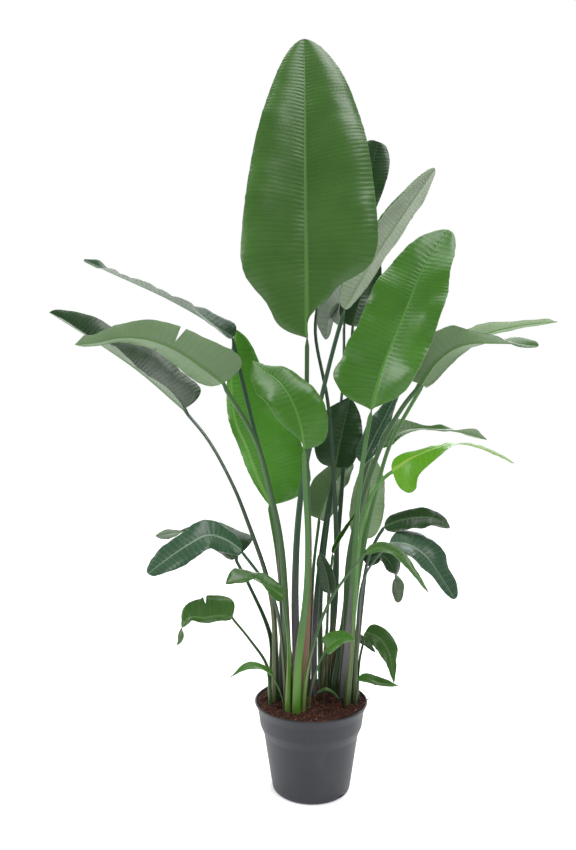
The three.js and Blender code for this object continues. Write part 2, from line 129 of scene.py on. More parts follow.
# A smooth path through points, with its knots spaced by the root of their distance
def smoothPath(points):
    knots = [Vector(point) for point in points]
    ends = [knots[0] * 2 - knots[1], *knots, knots[-1] * 2 - knots[-2]]

    def at(share):
        place = min(1.0, max(0.0, share)) * (len(knots) - 1)
        span = min(int(place), len(knots) - 2)
        weight = place - span
        p0, p1, p2, p3 = ends[span:span + 4]
        d0, d1, d2 = ((b - a).length ** 0.5 for a, b in ((p0, p1), (p1, p2), (p2, p3)))
        t1 = ((p1 - p0) / d0 - (p2 - p0) / (d0 + d1) + (p2 - p1) / d1) * d1
        t2 = ((p2 - p1) / d1 - (p3 - p1) / (d1 + d2) + (p3 - p2) / d2) * d1
        c2 = p2 * 3 - p1 * 3 - t1 * 2 - t2
        c3 = p1 * 2 - p2 * 2 + t1 + t2
        return p1 + t1 * weight + c2 * weight ** 2 + c3 * weight ** 3
    return at


def pathTangent(at, share):
    low, high = max(0.0, share - 1e-4), min(1.0, share + 1e-4)
    return (at(high) - at(low)).normalized()


# Places evenly spaced along a path, found from its own length
def evenPlaces(at, wanted, samples=400):
    spots = [at(index / samples) for index in range(samples + 1)]
    lengths = [0.0]
    for first, second in zip(spots, spots[1:]):
        lengths.append(lengths[-1] + (second - first).length)
    found = []
    index = 0
    for share in wanted:
        target = share * lengths[-1]
        while index < samples - 1 and lengths[index + 1] < target:
            index += 1
        gap = lengths[index + 1] - lengths[index]
        found.append((index + (target - lengths[index]) / gap) / samples)
    return found, lengths[-1]


# Injection-moulded polypropylene: satin, with a fine moulded grain, faint upright scuffs and a little dust
plasticFinish = {
    "grain": 0.9, "scuffWidth": 11.1, "scuffLength": 143, "dustPatch": 71.4,  # mm
    "grainRelief": 0.3, "dust": "463d38", "dustMost": 0.22, "smoothest": 0.36, "scuffRoughness": 0.22,
}


def mouldedPlastic():
    f = plasticFinish
    material, tree = newMaterial("mouldedPolypropylene")
    place = addNode(tree, "ShaderNodeTexCoord").outputs["Object"]
    fine = addNode(tree, "ShaderNodeTexNoise", {
        "Vector": place, "Scale": perMetre(f["grain"]), "Detail": 2.0})
    wide, long = perMetre(f["scuffWidth"]), perMetre(f["scuffLength"])
    upright = addNode(tree, "ShaderNodeMapping", {"Vector": place, "Scale": (wide, wide, long)})
    scuff = addNode(tree, "ShaderNodeTexNoise", {
        "Vector": upright, "Scale": 1.0, "Detail": 6.0, "Roughness": 0.7})
    dust = addNode(tree, "ShaderNodeTexNoise", {
        "Vector": place, "Scale": perMetre(f["dustPatch"]), "Detail": 4.0})
    clean = addNode(tree, "ShaderNodeValToRGB", {"Fac": scuff},
                    stops=[(0.30, "171b24"), (0.55, "1c2029"), (0.78, "242a33")])
    dusty = addNode(tree, "ShaderNodeMapRange", {"Value": dust, "From Min": 0.52, "From Max": 0.75})
    dustShare = addNode(tree, "ShaderNodeMath", [dusty, f["dustMost"]], operation="MULTIPLY")
    colour = addNode(tree, "ShaderNodeMix", [dustShare, clean, hexToLinear(f["dust"])], data_type="RGBA")
    bump = addNode(tree, "ShaderNodeBump", {
        "Strength": 0.16, "Distance": f["grainRelief"] * mm, "Height": fine})
    roughness = addNode(tree, "ShaderNodeMath", [scuff, f["scuffRoughness"], f["smoothest"]],
                        operation="MULTIPLY_ADD")
    finishMaterial(tree, {"Base Color": colour, "Roughness": roughness, "Normal": bump, "IOR": 1.49})
    return material


# The pot: a moulded shell with a collar and a thin lip. Heights are of the outer corners. The inner corners
# of the step stand a little higher, as they do where a wall keeps its thickness round a bend.
potShape = {
    "rimRadius": 135, "rimHeight": 208, "lipHeight": 4, "lipOverhang": 1.5, "rimThickening": 1,
    "neckRadius": 127, "neckHeight": 187, "collarRadius": 123, "collarBottom": 159, "collarInnerLift": 2,
    "stepRadius": 122, "stepTop": 153, "bodyTopRadius": 113, "bodyTop": 132, "bodyInnerLift": 4,
    "baseRadius": 92, "wall": 2.5, "floor": 3.5, "sides": 144,
    "footRound": 8, "bendRound": 4, "stepRound": 3, "edgeRound": 2, "lipRound": 1.2, "lipFootRound": 0.6,
    "lipNookRound": 0.5,
    "drainCount": 3, "drainStart": -42, "drainWidth": 16, "drainHeight": 5, "drainDepth": 16, "drainLift": 4,
    "drainRadius": 94, "wallAboveDrain": 6,
}


def turnedShell(name, profile, sides, material):
    points, faces = [], []
    rings = []
    for radius, height in profile:
        if radius == 0:
            rings.append([len(points)])
            points.append((0, 0, height * mm))
            continue
        rings.append(list(range(len(points), len(points) + sides)))
        for side in range(sides):
            angle = 2 * math.pi * side / sides
            points.append((radius * mm * math.cos(angle), radius * mm * math.sin(angle), height * mm))
    for low, high in zip(rings, rings[1:]):
        for side in range(sides):
            after = (side + 1) % sides
            if len(low) == 1:
                faces.append((low[0], high[after], high[side]))
            elif len(high) == 1:
                faces.append((low[side], low[after], high[0]))
            else:
                faces.append((low[side], low[after], high[after], high[side]))
    return newPiece(name, points, faces, material)


# A short curve of points that rounds one corner of a profile
def rounded(before, corner, after, radius, steps=5):
    corner, before, after = Vector(corner), Vector(before), Vector(after)
    start = corner + (before - corner).normalized() * radius
    end = corner + (after - corner).normalized() * radius
    shares = [index / steps for index in range(steps + 1)]
    return [tuple(start.lerp(corner, share).lerp(corner.lerp(end, share), share)) for share in shares]


# One block for each drain slot, in the wall at the pot's foot
def drainCutter():
    p = potShape
    cutter = bmesh.new()
    for index in range(p["drainCount"]):
        angle = math.radians(p["drainStart"]) + index * 2 * math.pi / p["drainCount"]
        for vertex in bmesh.ops.create_cube(cutter, size=1)["verts"]:
            reach = p["drainRadius"] + vertex.co.x * p["drainDepth"]
            wide = vertex.co.y * p["drainWidth"]
            up = p["drainLift"] + p["drainHeight"] / 2 + vertex.co.z * p["drainHeight"]
            vertex.co = Vector((reach * math.cos(angle) - wide * math.sin(angle),
                                reach * math.sin(angle) + wide * math.cos(angle), up)) * mm
    mesh = bpy.data.meshes.new("drainCutter")
    cutter.to_mesh(mesh)
    cutter.free()
    block = bpy.data.objects.new("drainCutter", mesh)
    bpy.context.scene.collection.objects.link(block)
    return block


def buildPot(material):
    p = potShape
    wall = p["wall"]
    lipFoot = p["rimHeight"] - p["lipHeight"]
    corners = [  # radius, height and rounding, up the outside and down the inside
        (0, 0, 0), (p["baseRadius"], 0, p["footRound"]), (p["bodyTopRadius"], p["bodyTop"], p["edgeRound"]),
        (p["stepRadius"], p["stepTop"], p["stepRound"]),
        (p["collarRadius"], p["collarBottom"], p["edgeRound"]),
        (p["neckRadius"], p["neckHeight"], p["bendRound"]),
        (p["rimRadius"] - p["lipOverhang"], lipFoot, p["lipNookRound"]),
        (p["rimRadius"], lipFoot, p["lipFootRound"]), (p["rimRadius"], p["rimHeight"], p["lipRound"]),
        (p["rimRadius"] - wall - p["rimThickening"], p["rimHeight"], p["lipRound"]),
        (p["neckRadius"] - wall, p["neckHeight"], p["bendRound"]),
        (p["collarRadius"] - wall, p["collarBottom"] + p["collarInnerLift"], p["stepRound"]),
        (p["bodyTopRadius"] - wall, p["bodyTop"] + p["bodyInnerLift"], p["stepRound"]),
        (p["baseRadius"] - wall, p["floor"], p["bendRound"]), (0, p["floor"], 0),
    ]
    aboveDrain = p["drainLift"] + p["drainHeight"] + p["wallAboveDrain"]
    wallThere = mix(p["baseRadius"], p["bodyTopRadius"], aboveDrain / p["bodyTop"])
    profile = [corners[0][:2]]
    for before, corner, after in zip(corners, corners[1:], corners[2:]):
        profile.extend(rounded(before[:2], corner[:2], after[:2], corner[2]))
        if corner is corners[1]:
            profile.append((wallThere, aboveDrain))
    profile.append(corners[-1][:2])
    pot = turnedShell("moulded_pot", profile, p["sides"], material)
    block = drainCutter()
    cut = pot.modifiers.new("drainSlots", "BOOLEAN")
    cut.operation = "DIFFERENCE"
    cut.solver = "EXACT"
    cut.object = block
    makePlain(pot)
    bpy.data.objects.remove(block)
    standIn(pot, "pot")


# Damp composted bark and coir: dull, dark red-brown crumbs
barkFinish = {"crumb": 2.5, "patch": 16.7, "crumbRelief": 1.2, "roughness": 0.93}  # mm, but for the roughness


def compostedBark():
    f = barkFinish
    material, tree = newMaterial("compostedBark")
    place = addNode(tree, "ShaderNodeTexCoord").outputs["Object"]
    crumbs = addNode(tree, "ShaderNodeTexVoronoi", {"Vector": place, "Scale": perMetre(f["crumb"])})
    patches = addNode(tree, "ShaderNodeTexNoise", {
        "Vector": place, "Scale": perMetre(f["patch"]), "Detail": 6.0})
    colour = addNode(tree, "ShaderNodeValToRGB", {"Fac": patches},
                     stops=[(0.3, "190c08"), (0.55, "31170f"), (0.75, "4c2719")])
    bump = addNode(tree, "ShaderNodeBump", {
        "Strength": 0.9, "Distance": f["crumbRelief"] * mm, "Height": crumbs.outputs["Distance"]})
    finishMaterial(tree, {"Base Color": colour, "Roughness": f["roughness"], "Normal": bump, "IOR": 1.4})
    return material


# Loose bark: each chip has its own shade, from nearly black to a fresh orange-brown
chipFinish = {
    "grain": 1.43, "grainRelief": 0.4,  # mm
    "grainDepth": 0.4, "grainColour": "1c0e09", "roughness": 0.88,
}


def barkChip():
    f = chipFinish
    material, tree = newMaterial("looseBarkChips")
    shade = addNode(tree, "ShaderNodeAttribute", attribute_name="chipShade").outputs["Fac"]
    place = addNode(tree, "ShaderNodeTexCoord").outputs["Object"]
    grain = addNode(tree, "ShaderNodeTexNoise", {
        "Vector": place, "Scale": perMetre(f["grain"]), "Detail": 3.0})
    bark = addNode(tree, "ShaderNodeValToRGB", {"Fac": shade},
                   stops=[(0.0, "1a0c08"), (0.5, "3a1a11"), (0.85, "5c2e1d"), (1.0, "8d5434")])
    grainShare = addNode(tree, "ShaderNodeMath", [grain, f["grainDepth"]], operation="MULTIPLY")
    colour = addNode(tree, "ShaderNodeMix", [grainShare, bark, hexToLinear(f["grainColour"])],
                     data_type="RGBA")
    bump = addNode(tree, "ShaderNodeBump", {
        "Strength": 0.6, "Distance": f["grainRelief"] * mm, "Height": grain})
    finishMaterial(tree, {"Base Color": colour, "Roughness": f["roughness"], "Normal": bump, "IOR": 1.45})
    return material


# The growing mix and the loose bark that lies on it. A room is how far a corner of the mix stands from the
# pot's own corner, sideways or upwards.
mixShape = {
    "top": 204, "lump": 3.5, "lumpLengths": (11, 13, 7), "crossLump": 0.6, "levelFrom": 100, "levelOver": 25,
    "grain": 2.2, "grainSize": 9, "sides": 144, "rings": 44,
    "rimRoom": 0.7, "wallRoom": 1, "neckRoom": -2, "collarRoom": 4, "bodyRoom": 1, "footRoom": 3,
    "floorRoom": 1,
    "chipsPerSquareMetre": 130000, "chipSmallest": 1.0, "chipLargest": 4.2, "edgeGap": 5, "seed": 7,
    "chipThinnest": (0.6, 0.35, 0.16), "chipFullest": (1.5, 0.8, 0.45), "chipTilt": 0.6, "chipTurn": 6.28,
    "shapeSeed": 11, "turnSeed": 12, "shadeSeed": 13,
}


def mixHeight(x, y):
    m = mixShape
    first, second, third = m["lumpLengths"]
    waves = math.sin(x / first + 1) * math.cos(y / second)
    waves += m["crossLump"] * math.sin((x - y) / third + 2)
    fade = 1 - smooth((math.hypot(x, y) - m["levelFrom"]) / m["levelOver"])
    crumbs = noise.noise(Vector((x, y, 3)) / m["grainSize"]) * m["grain"]
    return m["top"] + m["lump"] * waves * fade + crumbs


# The mix as one closed body: its lumpy top in rings from the middle out, then the wall side down to the floor
def buildMix(material, chipMaterial):
    p, m = potShape, mixShape
    flare = (m["top"] - p["neckHeight"]) / (p["rimHeight"] - p["neckHeight"])
    outer = mix(p["neckRadius"], p["rimRadius"] - p["rimThickening"], flare) - p["wall"] - m["rimRoom"]
    inside = -p["wall"] - m["wallRoom"]
    sides = m["sides"]
    points = [(0, 0, mixHeight(0, 0))]
    for ring in range(1, m["rings"] + 1):
        radius = outer * ring / m["rings"]
        for side in range(sides):
            angle = 2 * math.pi * side / sides
            x, y = radius * math.cos(angle), radius * math.sin(angle)
            points.append((x, y, mixHeight(x, y)))
    below = [(p["neckRadius"] + inside, p["neckHeight"] + m["neckRoom"]),
             (p["collarRadius"] + inside, p["collarBottom"] + m["collarRoom"]),
             (p["bodyTopRadius"] + inside, p["bodyTop"] + m["bodyRoom"]),
             (p["baseRadius"] - p["wall"] - m["footRoom"], p["floor"] + m["floorRoom"])]
    for radius, height in below:
        for side in range(sides):
            angle = 2 * math.pi * side / sides
            points.append((radius * math.cos(angle), radius * math.sin(angle), height))
    points.append((0, 0, p["floor"] + m["floorRoom"]))
    rings = m["rings"] + len(below)
    faces = []
    for side in range(sides):
        after = (side + 1) % sides
        faces.append((0, 1 + side, 1 + after))
        for ring in range(rings - 1):
            low, high = 1 + ring * sides, 1 + (ring + 1) * sides
            faces.append((low + side, high + side, high + after, low + after))
        faces.append((len(points) - 1, 1 + (rings - 1) * sides + after, 1 + (rings - 1) * sides + side))
    ground = newPiece("bark_mix", [Vector(point) * mm for point in points], faces, material)
    standIn(ground, "growing_mix")
    scatterChips(ground, chipMaterial)


# Bark chips scattered over the top of the mix, flat more often than upright
def chipTree():
    m = mixShape
    tree = bpy.data.node_groups.new("looseBark", "GeometryNodeTree")
    face = tree.interface
    face.new_socket("Geometry", in_out="INPUT", socket_type="NodeSocketGeometry")
    for name in ("Chips Per Square Metre", "Smallest", "Largest", "Reach"):
        face.new_socket(name, in_out="INPUT", socket_type="NodeSocketFloat")
    face.new_socket("Seed", in_out="INPUT", socket_type="NodeSocketInt")
    face.new_socket("Chip Material", in_out="INPUT", socket_type="NodeSocketMaterial")
    face.new_socket("Geometry", in_out="OUTPUT", socket_type="NodeSocketGeometry")
    given = addNode(tree, "NodeGroupInput").outputs

    normal = addNode(tree, "ShaderNodeSeparateXYZ", [addNode(tree, "GeometryNodeInputNormal")])
    spot = addNode(tree, "ShaderNodeSeparateXYZ", [addNode(tree, "GeometryNodeInputPosition")])
    flatSpot = addNode(tree, "ShaderNodeCombineXYZ", [spot.outputs["X"], spot.outputs["Y"]])
    fromAxis = addNode(tree, "ShaderNodeVectorMath", [flatSpot], operation="LENGTH")
    facingUp = addNode(tree, "FunctionNodeCompare", [normal.outputs["Z"], 0.5], operation="GREATER_THAN")
    within = addNode(tree, "FunctionNodeCompare", [fromAxis, given["Reach"]], operation="LESS_THAN")
    onTop = addNode(tree, "FunctionNodeBooleanMath", [facingUp, within])
    spots = addNode(tree, "GeometryNodeDistributePointsOnFaces", {
        "Mesh": given["Geometry"], "Selection": onTop, "Density": given["Chips Per Square Metre"],
        "Seed": given["Seed"]})
    chip = addNode(tree, "GeometryNodeMeshIcoSphere", {"Radius": 1.0, "Subdivisions": 1})
    size = addNode(tree, "FunctionNodeRandomValue", data_type="FLOAT", inputs={
        "Min": given["Smallest"], "Max": given["Largest"], "Seed": given["Seed"]})
    shape = addNode(tree, "FunctionNodeRandomValue", data_type="FLOAT_VECTOR", inputs={
        "Min": m["chipThinnest"], "Max": m["chipFullest"], "Seed": m["shapeSeed"]})
    scale = addNode(tree, "ShaderNodeVectorMath", {"Vector": shape, "Scale": size}, operation="SCALE")
    tilt, turn = m["chipTilt"], m["chipTurn"]
    turned = addNode(tree, "FunctionNodeRandomValue", data_type="FLOAT_VECTOR", inputs={
        "Min": (-tilt, -tilt, 0), "Max": (tilt, tilt, turn), "Seed": m["turnSeed"]})
    placed = addNode(tree, "GeometryNodeInstanceOnPoints", {
        "Points": spots, "Instance": chip, "Scale": scale, "Rotation": turned})
    shade = addNode(tree, "FunctionNodeRandomValue", data_type="FLOAT", inputs={
        "Min": 0.0, "Max": 1.0, "Seed": m["shadeSeed"]})
    shaded = addNode(tree, "GeometryNodeStoreNamedAttribute", {
        "Geometry": placed, "Name": "chipShade", "Value": shade}, data_type="FLOAT", domain="INSTANCE")
    real = addNode(tree, "GeometryNodeRealizeInstances", {"Geometry": shaded})
    coloured = addNode(tree, "GeometryNodeSetMaterial", {
        "Geometry": real, "Material": given["Chip Material"]})
    addNode(tree, "NodeGroupOutput", {"Geometry": coloured})
    return tree


def scatterChips(ground, material):
    m = mixShape
    chips = bpy.data.objects.new("loose_bark", ground.data.copy())
    bpy.context.scene.collection.objects.link(chips)
    modifier = chips.modifiers.new("looseBark", "NODES")
    modifier.node_group = chipTree()
    values = {
        "Chips Per Square Metre": float(m["chipsPerSquareMetre"]),
        "Smallest": m["chipSmallest"] * mm, "Largest": m["chipLargest"] * mm,
        "Reach": (potShape["rimRadius"] - potShape["wall"] - m["edgeGap"]) * mm,
        "Seed": m["seed"], "Chip Material": material,
    }
    for item in modifier.node_group.interface.items_tree:
        if item.item_type == "SOCKET" and item.in_out == "INPUT" and item.name in values:
            modifier[item.identifier] = values[item.name]
    makePlain(chips)
    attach(chips, "root")
    print("loose bark:", len(chips.data.polygons), "faces")


# A dry twig: weathered grey-brown bark with fine cracks
twigFinish = {"crack": 3.33, "crackDepth": 0.3, "roughness": 0.85}  # mm, but for the roughness


def dryTwigBark():
    f = twigFinish
    material, tree = newMaterial("dryTwigBark")
    place = addNode(tree, "ShaderNodeTexCoord").outputs["Object"]
    cracks = addNode(tree, "ShaderNodeTexNoise", {
        "Vector": place, "Scale": perMetre(f["crack"]), "Detail": 4.0})
    colour = addNode(tree, "ShaderNodeValToRGB", {"Fac": cracks}, stops=[(0.3, "4a2c22"), (0.7, "80543f")])
    bump = addNode(tree, "ShaderNodeBump", {
        "Strength": 0.6, "Distance": f["crackDepth"] * mm, "Height": cracks})
    finishMaterial(tree, {"Base Color": colour, "Roughness": f["roughness"], "Normal": bump, "IOR": 1.5})
    return material


twigShape = {
    "radius": 1.2, "thinning": 0.35, "knobs": 0.12, "knobTurns": 19, "sides": 10, "steps": 36,
    "route": [(108, -52, 184), (114, -50, 208), (128, -48, 222), (142, -46, 236)],
}


def buildTwig(material):
    w = twigShape
    path = smoothPath(w["route"])
    sides, steps = w["sides"], w["steps"]
    points, faces = [], []
    for step in range(steps + 1):
        share = step / steps
        tangent = pathTangent(path, share)
        side = tangent.cross(Vector((0, 1, 0))).normalized()
        up = side.cross(tangent)
        thinned = w["radius"] * (1 - w["thinning"] * share)
        radius = thinned * (1 + w["knobs"] * math.sin(share * w["knobTurns"]))
        for index in range(sides):
            angle = 2 * math.pi * index / sides
            around = side * radius * math.cos(angle) + up * radius * math.sin(angle)
            points.append((path(share) + around) * mm)
    for step in range(steps):
        for index in range(sides):
            after = (index + 1) % sides
            low, high = step * sides, (step + 1) * sides
            faces.append((low + index, high + index, high + after, low + after))
    faces.append(tuple(range(sides)))
    faces.append(tuple(steps * sides + index for index in reversed(range(sides))))
    twig = newPiece("dry_twig", points, faces, material)
    standIn(twig, "twig")


# What every leaf shares. Lengths are in mm, and places run from 0 at the blade's base to 1 at its tip.
leafRules = {
    "sunk": 152, "clearOfMix": 14, "thickness": 1.1, "leastReach": 1.5, "tearHalfLength": 0.011,
    "keelBase": 3.2, "keelTip": 0.6, "keelFullLength": 250, "ribBase": 4.6, "ribTip": 0.9,
    "ribFullLength": 900, "ribLeast": 0.35, "ribMost": 0.3, "ribShoulder": 1.5,
    "veinBack": 0.32, "veinForward": 0.35, "veinTurn": 1.6, "rollPowerBase": 4.5, "rollPowerTip": 1.6,
    "halvesApart": 1.7, "crinkle": 3.2, "crinkleLength": 26, "fineCrinkle": 0.3, "fineCrinkles": 3,
    "crinklePower": 1.5, "raggedness": 1.6, "raggedLength": 12, "raggedSeed": 5.0,
    "firstRow": 0.35, "evenRows": 0.75, "steadyNormal": 0.4,
}

# A stalk stands straight from below the mix to above it, in mm, unless it is a low one. The numbers from width
# to channelDepth shape its section, as shares of its half thickness.
stalkRules = {
    "rows": 44, "below": 14, "above": 16, "straightFrom": 40, "narrowing": 1.15, "channelOpening": 3,
    "width": 0.92, "flatness": 0.98, "edge": 0.12, "belly": 0.72, "channelEdge": 0.32, "channelDepth": 0.3,
    "sheathLeast": 0.001,
}

# What one leaf's own row changes. Pairs are the left and right half of the blade, seen on its upper side with
# the tip away, and angles are in degrees. A lobe is (place, side, amount, spread) and a tear is (place, side,
# depth), with side -1 for the left half and 1 for the right.
plainLook = {
    "half": (50, 50), "widest": (0.34, 0.34), "taper": (1.7, 1.7), "shoulder": (0.6, 0.6), "tip": 0.62,
    "face": ((0, -0.4, 1), (0, -0.4, 1)), "fold": (24, 24), "curl": (6, 6), "roll": (-40, -40),
    "wave": 6, "waves": 2.5, "phase": 0, "lobes": (), "tears": (), "stalkHalf": (8.5, 4.4),
    "rows": 64, "perSide": 16, "tone": "mid", "sheath": "green", "sheathHeight": 150,
}

broad = {"rows": 104, "stalkHalf": (11, 5.6)}
little = {"rows": 34, "perSide": 9, "stalkHalf": (4.6, 2.5), "wave": 2.5, "waves": 1.5}


def leaf(name, foot, stalk, rib, *looks, **own):
    row = {"name": name, "foot": foot, "stalk": stalk, "rib": rib, **plainLook}
    for look in looks:
        row.update(look)
    row.update(own)
    return row


